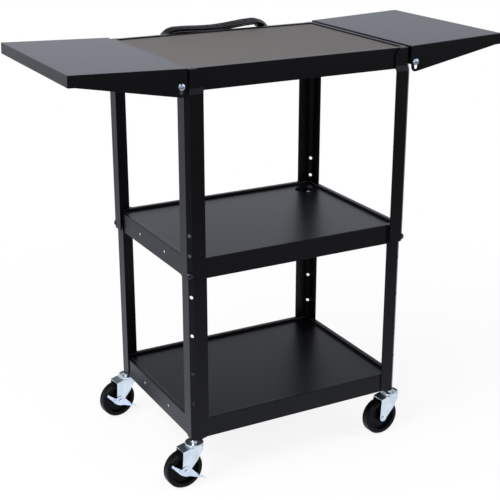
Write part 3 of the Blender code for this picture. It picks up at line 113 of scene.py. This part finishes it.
def track_point(step, reach):
    """Give a place on the oval track, seen from behind, after so many steps."""
    k = step % TURN_STEPS
    if k <= RUN_STEPS:
        return HALF_RUN - 2 * HALF_RUN * k / RUN_STEPS, -reach - run_sag(k / RUN_STEPS)
    if k <= RUN_STEPS + ARC_STEPS:
        turn = -math.pi / 2 - math.pi * (k - RUN_STEPS) / ARC_STEPS
        return -HALF_RUN + reach * math.cos(turn), reach * math.sin(turn)
    if k <= 2 * RUN_STEPS + ARC_STEPS:
        share = (k - RUN_STEPS - ARC_STEPS) / RUN_STEPS
        return -HALF_RUN + 2 * HALF_RUN * share, reach - run_sag(share)
    turn = math.pi / 2 - math.pi * (k - 2 * RUN_STEPS - ARC_STEPS) / ARC_STEPS
    return HALF_RUN + reach * math.cos(turn), reach * math.sin(turn)


def wound_point(step):
    """Give a place on the winding: in and out at a steady rate, a layer up at each reversal."""
    turns = step / TURN_STEPS
    band = turns / TURNS_PER_LAYER
    within = band % 1.0
    inward = int(band) % 2 == 0
    reach = INNER_TRACK + CORD_PITCH * TURNS_PER_LAYER * ((1 - within) if inward else within)
    layer = sum(min(1.0, max(0.0, (turns - i * TURNS_PER_LAYER) * 2 + 0.5))
                for i in range(1, LAYERS))
    u, v = track_point(step, reach)
    depth = HANK_Y - (LAYERS - 1) * CORD_PITCH / 2 + layer * CORD_PITCH
    return Vector((HANK_X + u * math.cos(HANK_TILT) - v * math.sin(HANK_TILT), depth + CENTRE_Y,
                   HANK_Z + u * math.sin(HANK_TILT) + v * math.cos(HANK_TILT)))


winding = [wound_point(FIRST_STEP + i / 2) for i in range(2 * (LAST_STEP - FIRST_STEP) + 1)]
print("winding points:", len(winding))

# %% [markdown]
# Before the winding, the cord drops out of its gland under the outlet strip, bends left and rises
# to the outermost track. After it, the cord hangs straight down to its plug. The lead is a
# quarter circle and then a Hermite curve, which joins two places smoothly when it is given the
# direction at each.

# %% The cord's lead and tail
GLAND_X = 0.096
GLAND_Y = SHELF_HALF_Y + 0.0064 + CENTRE_Y
STRIP_HALF_HEIGHT = 0.020
GLAND_LENGTH = 0.026
GLAND_END_Z = HANK_Z - STRIP_HALF_HEIGHT - GLAND_LENGTH - 2 * SEAT
BEND_RADIUS = 0.024
BEND_STEPS = 12
JOIN_STEPS = 16
TAIL_LENGTH = 0.054
TAIL_STEPS = 6

exit_point = Vector((GLAND_X, GLAND_Y, GLAND_END_Z))
straight = exit_point - Vector((0.0, 0.0, CORD_DIAMETER))
lead = [exit_point, straight]
for i in range(1, BEND_STEPS + 1):
    turn = math.pi / 2 * i / BEND_STEPS
    lead.append(straight + BEND_RADIUS * Vector((math.cos(turn) - 1, 0.0, -math.sin(turn))))
start = lead[-1]
reach = (winding[0] - start).length
pull_start = Vector((-reach, 0.0, 0.0))
pull_end = (winding[2] - winding[0]).normalized() * reach
for i in range(1, JOIN_STEPS):
    t = i / JOIN_STEPS
    lead.append(start * (2 * t ** 3 - 3 * t ** 2 + 1) + pull_start * (t ** 3 - 2 * t ** 2 + t)
                + winding[0] * (3 * t ** 2 - 2 * t ** 3) + pull_end * (t ** 3 - t ** 2))
tail = [winding[-1] - Vector((0.0, 0.0, TAIL_LENGTH * i / TAIL_STEPS))
        for i in range(1, TAIL_STEPS + 1)]
route = lead + winding + tail
cord_length = sum((b - a).length for a, b in zip(route, route[1:]))
print("cord length in m:", round(cord_length, 3))

# %% [markdown]
# The tube's thickness is the bevel times each point's radius. The bevel is 1 and the radius is
# half the diameter, because Blender's box round a curve counts the radius alone.

cord_curve = bpy.data.curves.new("cord_jacket", "CURVE")
cord_curve.dimensions = "3D"
cord_curve.bevel_depth = 1.0
cord_curve.bevel_resolution = 4
cord_curve.use_fill_caps = True
spline = cord_curve.splines.new("POLY")
spline.points.add(len(route) - 1)
for target, place in zip(spline.points, route):
    target.co = (*place, 1.0)
    target.radius = CORD_DIAMETER / 2
spline.use_smooth = True
cord = bpy.data.objects.new("cord_jacket", cord_curve)
bpy.context.scene.collection.objects.link(cord)
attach(cord, "upper_frame")
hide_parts("power_cord")
print("cord declared, exit at", [round(v, 4) for v in exit_point])

# %% [markdown]
# Now the finishes. A shader takes linear light values, while a colour read as hex is sRGB, so one
# function turns the first into the second. Another adds a node with its settings and links, which
# keeps each material short enough to read as a recipe.

# %% Colour and node helpers
def linear(hex_colour):
    """Turn an sRGB hex colour into the linear values a shader takes."""
    parts = [int(hex_colour[i:i + 2], 16) / 255 for i in (0, 2, 4)]
    return [p / 12.92 if p <= 0.04045 else ((p + 0.055) / 1.055) ** 2.4 for p in parts] + [1.0]


def add(tree, kind, inputs=(), **settings):
    """Add a node, set its options, and give each named input a value or a link."""
    node = tree.nodes.new(kind)
    for name, value in settings.items():
        setattr(node, name, value)
    for name, value in dict(inputs).items():
        if isinstance(value, bpy.types.NodeSocket):
            tree.links.new(value, node.inputs[name])
        else:
            node.inputs[name].default_value = value
    return node


def start_material(name, **sockets):
    """Make a material with its constant sockets, and give its tree, shader and coordinates."""
    material = bpy.data.materials.new(name)
    material.use_nodes = True
    tree = material.node_tree
    shader = tree.nodes["Principled BSDF"]
    for socket, value in sockets.items():
        shader.inputs[socket.replace("_", " ")].default_value = value
    place = add(tree, "ShaderNodeTexCoord").outputs["Object"]
    return material, tree, shader, place


print("mid grey in linear light:", [round(v, 4) for v in linear("808080")])

# %% [markdown]
# Powder coat is a dry paint that is sprayed on as a powder and baked until it flows. On carts
# it is a black polyester with a satin, slightly pebbled skin. The pebbles are about 0.5 mm,
# finer than the render can show, so the bump is drawn at 2 mm. The eye gets a nearly black body,
# little gloss from the front, and a soft grey sheen at a shallow angle. The pebbles scatter most
# of the frontal reflection, so the specular level is a third of that of smooth plastic.

# %% Powder coat
def powder_coat(name, dark, light, roughness=0.34, specular=0.16):
    """Baked black powder coat with a fine pebble and slow changes in tone."""
    material, tree, shader, place = start_material(name, Specular_IOR_Level=specular)
    cloud = add(tree, "ShaderNodeTexNoise", {"Vector": place, "Scale": 1 / 0.12, "Detail": 3.0})
    pebble = add(tree, "ShaderNodeTexNoise", {"Vector": place, "Scale": 1 / 0.002, "Detail": 2.0})
    tone = add(tree, "ShaderNodeMix", {"A": linear(dark), "B": linear(light),
                                       "Factor": cloud.outputs["Fac"]}, data_type="RGBA")
    tree.links.new(tone.outputs[2], shader.inputs["Base Color"])
    rough = add(tree, "ShaderNodeMapRange", {"Value": pebble.outputs["Fac"],
                                             "To Min": roughness - 0.05,
                                             "To Max": roughness + 0.07})
    tree.links.new(rough.outputs["Result"], shader.inputs["Roughness"])
    bump = add(tree, "ShaderNodeBump", {"Height": pebble.outputs["Fac"], "Strength": 0.20,
                                        "Distance": 0.00015})
    tree.links.new(bump.outputs["Normal"], shader.inputs["Normal"])
    return material


coat = powder_coat("black_powder_coat", "030305", "08080B")
print("made", coat.name)

# %% [markdown]
# The mat in the top tray is a sheet of grey rubber. Rubber is matt: its light comes back in all
# directions, so it is the palest surface seen from the front and the flattest one seen at a
# shallow angle. Its speckle is about 1 mm, drawn at 1.5 mm.

# %% Mat rubber
def mat_rubber(name):
    """Matt grey sheet rubber with a fine speckle."""
    material, tree, shader, place = start_material(name, Roughness=0.60, Specular_IOR_Level=0.12)
    speckle = add(tree, "ShaderNodeTexNoise", {"Vector": place, "Scale": 1 / 0.0015, "Detail": 2.0})
    tone = add(tree, "ShaderNodeMix", {"A": linear("4F4B49"), "B": linear("6E6967"),
                                       "Factor": speckle.outputs["Fac"]}, data_type="RGBA")
    tree.links.new(tone.outputs[2], shader.inputs["Base Color"])
    bump = add(tree, "ShaderNodeBump", {"Height": speckle.outputs["Fac"], "Strength": 0.30,
                                        "Distance": 0.0002})
    tree.links.new(bump.outputs["Normal"], shader.inputs["Normal"])
    return material


mat = mat_rubber("grey_sheet_rubber")
print("made", mat.name)

# %% [markdown]
# The casters are pressed from mild steel and zinc plated, then dipped in a clear or a blue
# passivate. Zinc is a metal, so the shader is fully metallic and keeps its default IOR. The
# plating is bright but not polished: it follows the steel's own rolling marks, which are about
# 1 mm apart, drawn at 1.5 mm, and blur the reflections a little along one direction.

# %% Zinc plate
def zinc_plate(name, pale, deep, roughness):
    """Bright zinc plate over pressed steel, with faint rolling marks."""
    material, tree, shader, place = start_material(name, Metallic=1.0)
    stretched = add(tree, "ShaderNodeMapping", {"Vector": place, "Scale": (1.0, 1.0, 0.15)})
    marks = add(tree, "ShaderNodeTexNoise", {"Vector": stretched.outputs["Vector"],
                                             "Scale": 1 / 0.0015, "Detail": 3.0})
    cloud = add(tree, "ShaderNodeTexNoise", {"Vector": place, "Scale": 1 / 0.02, "Detail": 2.0})
    tone = add(tree, "ShaderNodeMix", {"A": linear(deep), "B": linear(pale),
                                       "Factor": cloud.outputs["Fac"]}, data_type="RGBA")
    tree.links.new(tone.outputs[2], shader.inputs["Base Color"])
    rough = add(tree, "ShaderNodeMapRange", {"Value": marks.outputs["Fac"],
                                             "To Min": roughness - 0.07,
                                             "To Max": roughness + 0.10})
    tree.links.new(rough.outputs["Result"], shader.inputs["Roughness"])
    bump = add(tree, "ShaderNodeBump", {"Height": marks.outputs["Fac"], "Strength": 0.10,
                                        "Distance": 0.0001})
    tree.links.new(bump.outputs["Normal"], shader.inputs["Normal"])
    return material


zinc = zinc_plate("zinc_plated_steel", "E4EAED", "B4BFC5", 0.28)
blue_zinc = zinc_plate("blue_passivated_zinc", "E2E9F2", "A6B3C4", 0.24)
bolt_zinc = zinc_plate("blue_passivated_bolt", "B9C3CF", "8E9AA8", 0.30)
print("made", zinc.name, "and two blue passivates")

# %% [markdown]
# The wheels, the cord and its plug, the outlets and the dark bolts are all black, and each is
# told apart by its gloss. Moulded rubber has a dull skin, PVC a soft shine, nylon a fine grain,
# and blackened steel is a metal with a dark oxide that still throws a sharp highlight. One
# recipe covers them. The real grain is under 1 mm, and the grain given here in millimetres is
# two or three times as coarse, so that it shows.

# %% Black mouldings and blackened steel
def black_moulding(name, dark, light, roughness, grain_mm, specular=0.4, metallic=0.0):
    """A black moulded or blackened surface with a grain of a given size."""
    material, tree, shader, place = start_material(name, Specular_IOR_Level=specular,
                                                   Metallic=metallic)
    grain = add(tree, "ShaderNodeTexNoise", {"Vector": place, "Scale": 1000 / grain_mm,
                                             "Detail": 2.0})
    tone = add(tree, "ShaderNodeMix", {"A": linear(dark), "B": linear(light),
                                       "Factor": grain.outputs["Fac"]}, data_type="RGBA")
    tree.links.new(tone.outputs[2], shader.inputs["Base Color"])
    rough = add(tree, "ShaderNodeMapRange", {"Value": grain.outputs["Fac"],
                                             "To Min": roughness - 0.06,
                                             "To Max": roughness + 0.08})
    tree.links.new(rough.outputs["Result"], shader.inputs["Roughness"])
    bump = add(tree, "ShaderNodeBump", {"Height": grain.outputs["Fac"], "Strength": 0.15,
                                        "Distance": 0.0001})
    tree.links.new(bump.outputs["Normal"], shader.inputs["Normal"])
    return material


wheel_rubber = black_moulding("moulded_wheel_rubber", "050506", "09090B", 0.36, 2.0, specular=0.07)
cord_pvc = black_moulding("extruded_cord_pvc", "08090C", "101216", 0.26, 3.0, specular=0.5)
plug_pvc = black_moulding("moulded_plug_pvc", "101012", "18181A", 0.42, 1.5)
nylon = black_moulding("moulded_outlet_nylon", "0E0E10", "141416", 0.32, 1.5)
black_oxide = black_moulding("black_oxide_steel", "2A2A2E", "3A3A3E", 0.28, 1.5, metallic=1.0)
print("made five black finishes")

# %% [markdown]
# Each node of the frame now gets its finish, chosen by how its name starts. The count printed at
# the end gives how many were finished, of all the nodes.

# %% Give every node its finish
FINISHES = (
    (("top_shelf", "middle_shelf", "bottom_shelf", "upper_leg", "lower_leg", "left_leaf",
      "right_leaf", "leaf_bracket", "cord_hook", "outlet_housing"), coat),
    (("top_mat",), mat),
    (("caster", "leg_nut"), zinc),
    (("leaf_pivot", "pivot_nut"), bolt_zinc),
    (("brake_lever",), blue_zinc),
    (("wheel",), wheel_rubber),
    (("leg_bolt",), black_oxide),
    (("outlet_face",), nylon),
    (("plug", "cord_gland"), plug_pvc),
    (("power_cord",), cord_pvc),
)
finished = 0
for starts, material in FINISHES:
    for name, node in nodes.items():
        if name.startswith(starts):
            for slot in node.material_slots:
                slot.material = material
            finished += 1
cord_curve.materials.append(cord_pvc)
print("nodes finished:", finished, "of", len(nodes))

# %% [markdown]
# Small hardware comes next. Each piece is built straight in the cart's own frame, in metres, and
# rides on the body it is fixed to. Most hardware is either a profile turned about an axis or an
# outline given a thickness, so one function works out each of those, and a third makes the object.

# %% Two ways to make a small piece
ROUND_OVER = math.radians(32.0)


def turned(profile, foot, axis, sides):
    """Turn (radius, height) points about an axis; the first and last radius are 0."""
    turn = Vector(axis).to_track_quat("Z", "Y")
    corners = [Vector(foot) + turn @ Vector((0.0, 0.0, profile[0][1]))]
    for radius, height in profile[1:-1]:
        for i in range(sides):
            a = math.tau * i / sides
            spoke = Vector((radius * math.cos(a), radius * math.sin(a), height))
            corners.append(Vector(foot) + turn @ spoke)
    corners.append(Vector(foot) + turn @ Vector((0.0, 0.0, profile[-1][1])))
    faces = [(0, 1 + (i + 1) % sides, 1 + i) for i in range(sides)]
    for ring in range(len(profile) - 3):
        low = 1 + ring * sides
        for i in range(sides):
            j = (i + 1) % sides
            faces.append((low + i, low + j, low + sides + j, low + sides + i))
    last = 1 + (len(profile) - 3) * sides
    faces += [(last + i, last + (i + 1) % sides, len(corners) - 1) for i in range(sides)]
    return corners, faces


def extruded(outline, foot, across, up, depth):
    """Give an outline drawn along two directions a depth along the third."""
    out = Vector(across).cross(Vector(up)).normalized() * depth
    front = [Vector(foot) + a * Vector(across) + b * Vector(up) for a, b in outline]
    count = len(front)
    faces = [tuple(reversed(range(count))), tuple(range(count, 2 * count))]
    faces += [(i, (i + 1) % count, count + (i + 1) % count, count + i) for i in range(count)]
    return front + [p + out for p in front], faces


def new_piece(name, shapes, material, body):
    """Make one object of several closed shapes, finished, riding on a body."""
    corners = []
    faces = []
    for points, rings in shapes:
        faces += [tuple(len(corners) + i for i in ring) for ring in rings]
        corners += points
    mesh = bpy.data.meshes.new(name)
    mesh.from_pydata(corners, [], faces)
    mesh.shade_smooth()
    mesh.set_sharp_from_angle(angle=ROUND_OVER)
    mesh.materials.append(material)
    piece = bpy.data.objects.new(name, mesh)
    bpy.context.scene.collection.objects.link(piece)
    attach(piece, body)
    return piece


print("made the two shape functions")

# %% [markdown]
# Each caster turns on a ball race: two pressed rings with balls between, riveted on a kingpin. The
# upper ring has a rolled lip, which catches the light as a bright band, and a narrow groove
# below it where the balls run, which stays dark. The piece turned here takes the place of a
# plainer solid. Its profile is in millimetres, as radius and height over the fork's top.

# %% Ball races
CORNERS = {"front_left": (-1, -1), "front_right": (1, -1),
           "rear_left": (-1, 1), "rear_right": (1, 1)}
CASTER_IN_X = 0.0054
CASTER_IN_Y = 0.0077
FORK_TOP = 0.1095
RACE_SIDES = 48
RACE_PROFILE = (
    (0.0, -5.5), (6.2, -5.5), (7.4, -5.0), (8.0, -4.0), (8.0, -2.3), (5.0, -2.3), (5.0, 0.3),
    (21.2, 0.3), (21.6, 0.6), (21.6, 3.0), (23.2, 3.2), (23.9, 3.6), (24.2, 4.3), (24.1, 5.6),
    (23.6, 6.5), (22.6, 7.0), (21.6, 6.8), (20.8, 6.1), (20.0, 5.4), (19.0, 5.1), (9.8, 5.1),
    (8.6, 5.6), (7.8, 7.0), (7.8, 13.2), (0.0, 13.2),
)


def in_metres(points):
    """Turn a flat outline or profile from millimetres to metres."""
    return [(a / 1000, b / 1000) for a, b in points]


def swivel_place(corner, height):
    """Give the place at a height on the axis that a caster swivels about."""
    side_x, side_y = CORNERS[corner]
    return Vector((side_x * (SHELF_HALF_X - CASTER_IN_X),
                   side_y * (SHELF_HALF_Y - CASTER_IN_Y) + CENTRE_Y, height))


for corner in CORNERS:
    ring = turned(in_metres(RACE_PROFILE), swivel_place(corner, FORK_TOP), (0, 0, 1), RACE_SIDES)
    race = new_piece("ball_race_" + corner, [ring], zinc, "base")
    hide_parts("caster_mount_" + corner)
print("ball races:", len(CORNERS), "of", len(RACE_PROFILE), "profile points")

# %% [markdown]
# Each leaf is a pressed steel pan. Its inner edge is folded under as a safe edge, so that no bare
# sheet faces the hand, and this fold also closes the gap that light would shine through. The
# outline is in millimetres, as distance from the cart's middle and height.

# %% Safe edges of the leaves
EDGE_OUTLINE = ((307.25, 1065.6), (307.6, 1065.2), (308.2, 1065.4), (308.6, 1066.2),
                (309.4, 1066.7), (310.2, 1066.8), (310.8, 1067.2), (310.9, 1068.45),
                (307.3, 1068.3))
EDGE_START = -0.2452
EDGE_LENGTH = 0.4720
for side, sign in (("left", -1), ("right", 1)):
    foot = (0.0, EDGE_START + (EDGE_LENGTH if sign > 0 else 0.0), 0.0)
    edge = extruded(in_metres(EDGE_OUTLINE), foot, (sign, 0, 0), (0, 0, 1), EDGE_LENGTH)
    new_piece("safe_edge_" + side, [edge], coat, side + "_leaf")
print("safe edges: 2, each in mm:", round(1000 * EDGE_LENGTH))

# %% [markdown]
# The side brake levers are stamped plates on the wheel's axle. A second, smaller rivet holds each
# lever's stop, part of the way along its rear arm. The lever is turned by its caster's heading
# about Z, in degrees, and by its own slope about the axle.

# %% Stop rivets of the brake levers
FORK_HALF_WIDTH = 0.0190
LEVER_THICKNESS = 0.0016
LEVER_FACE = FORK_HALF_WIDTH + SEAT + LEVER_THICKNESS
LEVER_HEADINGS = (("front_left", 183.5), ("rear_left", 187.8))
LEVER_SLOPE = math.radians(31.0)
WHEEL_TRAIL = 0.0336
AXLE_HEIGHT = 0.0508
STOP_ALONG = 0.0215
STOP_UP = -0.0045
RIVET_PROFILE = ((0.0, -0.0008), (0.0022, -0.0008), (0.0022, 0.0002), (0.0019, 0.0008),
                 (0.0012, 0.0012), (0.0, 0.0013))
RIVET_SIDES = 16
for corner, heading in LEVER_HEADINGS:
    turn = Matrix.Rotation(math.radians(heading), 3, "Z")
    along = Vector((math.cos(LEVER_SLOPE), 0.0, math.sin(LEVER_SLOPE)))
    up = Vector((-math.sin(LEVER_SLOPE), 0.0, math.cos(LEVER_SLOPE)))
    local = Vector((WHEEL_TRAIL, LEVER_FACE, AXLE_HEIGHT)) + STOP_ALONG * along + STOP_UP * up
    foot = swivel_place(corner, 0.0) + turn @ local
    rivet = turned(RIVET_PROFILE, foot, turn @ Vector((0, 1, 0)), RIVET_SIDES)
    new_piece("stop_rivet_" + corner, [rivet], bolt_zinc, "brake_" + corner)
print("stop rivets:", len(LEVER_HEADINGS))

# %% [markdown]
# The outlet strip is held by two pan-head screws, and each slot of an outlet has a brass spring
# behind it, with a leaf on each side. Brass is a copper and zinc alloy: metallic, warm yellow, and
# here a little dulled. Only the leaves' edges show in the slot, as thin warm lines. Outlines,
# profiles and places on the strip are in millimetres.

# %% Brass and the strip's small parts
STRIP_FACE = 0.2614
OUTLETS_X = (-52.0, 0.0, 52.0)
SLOTS_X = (-6.35, 6.35)
SPRING_LEAVES_X = (-0.72, 0.42)
SPRING_OUTLINE = ((0.0, 0.0), (0.3, 0.0), (0.3, 6.6), (0.15, 7.0), (0.0, 6.8))
SPRING_FOOT_Y = -0.9
SPRING_FOOT_Z = 0.1
SPRING_DEPTH = 0.0014
PAN_PROFILE = ((0.0, -0.6), (1.6, -0.6), (1.6, 0.0), (3.4, 0.0), (3.4, 0.7), (3.0, 1.5),
               (2.2, 2.0), (0.9, 2.1), (0.7, 1.2), (0.0, 1.1))
SCREWS_X = (-80.0, 80.0)
SCREW_FOOT_Y = -1.3
SCREW_SIDES = 24


def strip_place(x, y, z):
    """Turn a place on the strip's face, in mm from its middle, to the cart's frame."""
    return (HANK_X + x / 1000, STRIP_FACE + y / 1000, HANK_Z + z / 1000)


brass = zinc_plate("dulled_brass", "D9B45E", "A97F38", 0.36)
springs = []
for outlet in OUTLETS_X:
    for slot_side in SLOTS_X:
        for wall in SPRING_LEAVES_X:
            foot = strip_place(outlet + slot_side + wall, SPRING_FOOT_Y, SPRING_FOOT_Z)
            springs.append(extruded(in_metres(SPRING_OUTLINE), foot, (1, 0, 0), (0, 0, 1),
                                    SPRING_DEPTH))
new_piece("outlet_springs", springs, brass, "upper_frame")

pan = in_metres(PAN_PROFILE)
screws = [turned(pan, strip_place(x, SCREW_FOOT_Y, 0.0), (0, 1, 0), SCREW_SIDES) for x in SCREWS_X]
new_piece("strip_screws", screws, black_oxide, "upper_frame")
print("strip:", len(screws), "screws and", len(springs), "spring leaves")

# %% [markdown]
# The floor is a wide white plane. It should look white to the camera but still catch the soft
# shadow under the casters, so its colour is a mix: mostly its own white light where the camera
# or a reflection sees it, and partly real lit paint, which carries the shadow. The paint's share
# fades out with the distance from the cart, where no shadow falls. What reflections see of the
# floor's glow is painted light and shade. It is a slightly cool white, the colour of the studio's
# daylight tubes. It has a painted pool of light close to the cart, which lifts the tones of the
# lowest faces. And it has painted shade in front of the cart, where the glow falls to dark as if
# a lit paper backdrop ended there and the dark studio began. That painted reflection is why the
# front faces of black paint are greyer low down than they are at the top.

# %% White floor
WHITE = (1.0, 1.0, 1.0, 1.0)
COOL_WHITE = linear("EAEFFB")
# Painted reflection levels of the floor's glow: behind the cart, in front of it, and near it.
FLOOR_PAINTED_REFLECTION_BEHIND = 0.95
FLOOR_PAINTED_SHADE_AHEAD = 0.0
FLOOR_PAINTED_LIGHT_POOL = 1.5
SHADOW_SHARE = 0.12
FLOOR_HALF = 15.0


def studio_floor():
    """A plain pale floor that keeps a soft shadow, with painted light and shade in its reflections.
    """
    material, tree, shader, place = start_material("studio_floor_paint")
    tree.nodes.remove(shader)
    paint = add(tree, "ShaderNodeBsdfDiffuse", {"Color": linear("F4F4F4")})
    rays = add(tree, "ShaderNodeLightPath")
    # Painted reflection tint: reflections see the floor's glow as a cool white.
    tint = add(tree, "ShaderNodeMix", {"A": WHITE, "B": COOL_WHITE,
                                       "Factor": rays.outputs["Is Glossy Ray"]}, data_type="RGBA")
    depth = add(tree, "ShaderNodeSeparateXYZ", {"Vector": place})
    # Painted shade: reflections see the floor's glow fall to dark in front of the cart.
    painted_reflection_sweep = add(tree, "ShaderNodeMapRange", {"Value": depth.outputs["Y"], "From Min": -2.8,
                                             "From Max": -0.2, "To Min": FLOOR_PAINTED_SHADE_AHEAD,
                                             "To Max": FLOOR_PAINTED_REFLECTION_BEHIND})
    away = add(tree, "ShaderNodeVectorMath", {0: place}, operation="LENGTH")
    # Painted pool of light: reflections see the floor's glow brighter close to the cart.
    painted_pool_near_cart = add(tree, "ShaderNodeMapRange", {"Value": away.outputs["Value"], "From Min": 0.4,
                                             "From Max": 2.2, "To Min": FLOOR_PAINTED_LIGHT_POOL,
                                             "To Max": 1.0})
    # The painted light and painted shade together give the glow's strength in reflections.
    painted_reflection_level = add(tree, "ShaderNodeMath", {0: painted_reflection_sweep.outputs["Result"], 1: painted_pool_near_cart.outputs["Result"]},
                operation="MULTIPLY")
    level = add(tree, "ShaderNodeMix", {"Factor": rays.outputs["Is Glossy Ray"], "A": 1.0,
                                        "B": painted_reflection_level.outputs[0]})
    glow = add(tree, "ShaderNodeEmission", {"Color": tint.outputs[2], "Strength": level.outputs[0]})
    mirrored = add(tree, "ShaderNodeMath", {0: rays.outputs["Is Glossy Ray"],
                                            1: rays.outputs["Is Transmission Ray"]},
                   operation="MAXIMUM")
    seen = add(tree, "ShaderNodeMath", {0: rays.outputs["Is Camera Ray"], 1: mirrored.outputs[0]},
               operation="MAXIMUM")
    fade = add(tree, "ShaderNodeMapRange", {"Value": away.outputs["Value"], "From Min": 0.6,
                                            "From Max": 1.8, "To Min": 1.0 - SHADOW_SHARE,
                                            "To Max": 1.0})
    share = add(tree, "ShaderNodeMath", {0: seen.outputs[0], 1: fade.outputs["Result"]},
                operation="MULTIPLY")
    mixed = add(tree, "ShaderNodeMixShader", {"Fac": share.outputs[0], 1: paint.outputs["BSDF"],
                                              2: glow.outputs["Emission"]})
    output = tree.nodes["Material Output"]
    tree.links.new(mixed.outputs["Shader"], output.inputs["Surface"])
    mesh = bpy.data.meshes.new("studio_floor")
    rim = [(x * FLOOR_HALF, y * FLOOR_HALF, 0.0) for x, y in ((-1, -1), (1, -1), (1, 1), (-1, 1))]
    mesh.from_pydata(rim, [], [(0, 1, 2, 3)])
    mesh.materials.append(material)
    floor = bpy.data.objects.new("studio_floor", mesh)
    bpy.context.scene.collection.objects.link(floor)
    return floor


floor = studio_floor()
print("floor side in m:", floor.dimensions.x)

# %% [markdown]
# The studio is white all round. The world is at full strength where the camera sees it, and lower
# for the light it casts, which leaves room for the lamps to give the object its shape. In a
# reflection the walls are a soft white that falls off towards the ceiling, worked out from the
# height of the reflected ray: low walls shine in the leaves, and the dark ceiling keeps the lowest
# deck black. A large soft lamp hangs over the left side, and a smaller one fills from the right.

# %% World and lamps
WORLD_FILL = 0.55
WALL_LOW = 1.6
WALL_HIGH = 0.06
WALL_FOOT = 0.29
WALL_TOP = 0.51
LAMP_TARGET = (0.0, 0.0, 0.6)

world = bpy.data.worlds.new("white_studio")
bpy.context.scene.world = world
world.use_nodes = True
tree = world.node_tree
background = tree.nodes["Background"]
rays = add(tree, "ShaderNodeLightPath")
seen = add(tree, "ShaderNodeMath", {0: rays.outputs["Is Camera Ray"],
                                    1: rays.outputs["Is Transmission Ray"]}, operation="MAXIMUM")
plain = add(tree, "ShaderNodeMapRange", {"Value": seen.outputs[0], "To Min": WORLD_FILL,
                                         "To Max": 1.0})
sky = add(tree, "ShaderNodeTexCoord").outputs["Generated"]
slope = add(tree, "ShaderNodeSeparateXYZ", {"Vector": sky})
wall = add(tree, "ShaderNodeMapRange", {"Value": slope.outputs["Z"], "From Min": WALL_FOOT,
                                        "From Max": WALL_TOP, "To Min": WALL_LOW,
                                        "To Max": WALL_HIGH})
strength = add(tree, "ShaderNodeMix", {"Factor": rays.outputs["Is Glossy Ray"],
                                       "A": plain.outputs["Result"], "B": wall.outputs["Result"]})
tree.links.new(strength.outputs[0], background.inputs["Strength"])
tint = add(tree, "ShaderNodeMix", {"A": WHITE, "B": COOL_WHITE,
                                   "Factor": rays.outputs["Is Glossy Ray"]}, data_type="RGBA")
tree.links.new(tint.outputs[2], background.inputs["Color"])


def soft_lamp(name, place, size, power):
    """Hang a square soft lamp at a place, facing the middle of the cart."""
    lamp = bpy.data.lights.new(name, "AREA")
    lamp.shape = "SQUARE"
    lamp.size = size
    lamp.energy = power
    holder = bpy.data.objects.new(name, lamp)
    bpy.context.scene.collection.objects.link(holder)
    holder.location = place
    aim = Vector(LAMP_TARGET) - Vector(place)
    holder.rotation_euler = aim.to_track_quat("-Z", "Y").to_euler()


soft_lamp("key_lamp", place=(-2.6, -0.6, 3.2), size=2.2, power=130.0)
soft_lamp("fill_lamp", place=(2.4, -2.2, 2.4), size=2.0, power=35.0)
bpy.context.scene.view_settings.view_transform = "Standard"
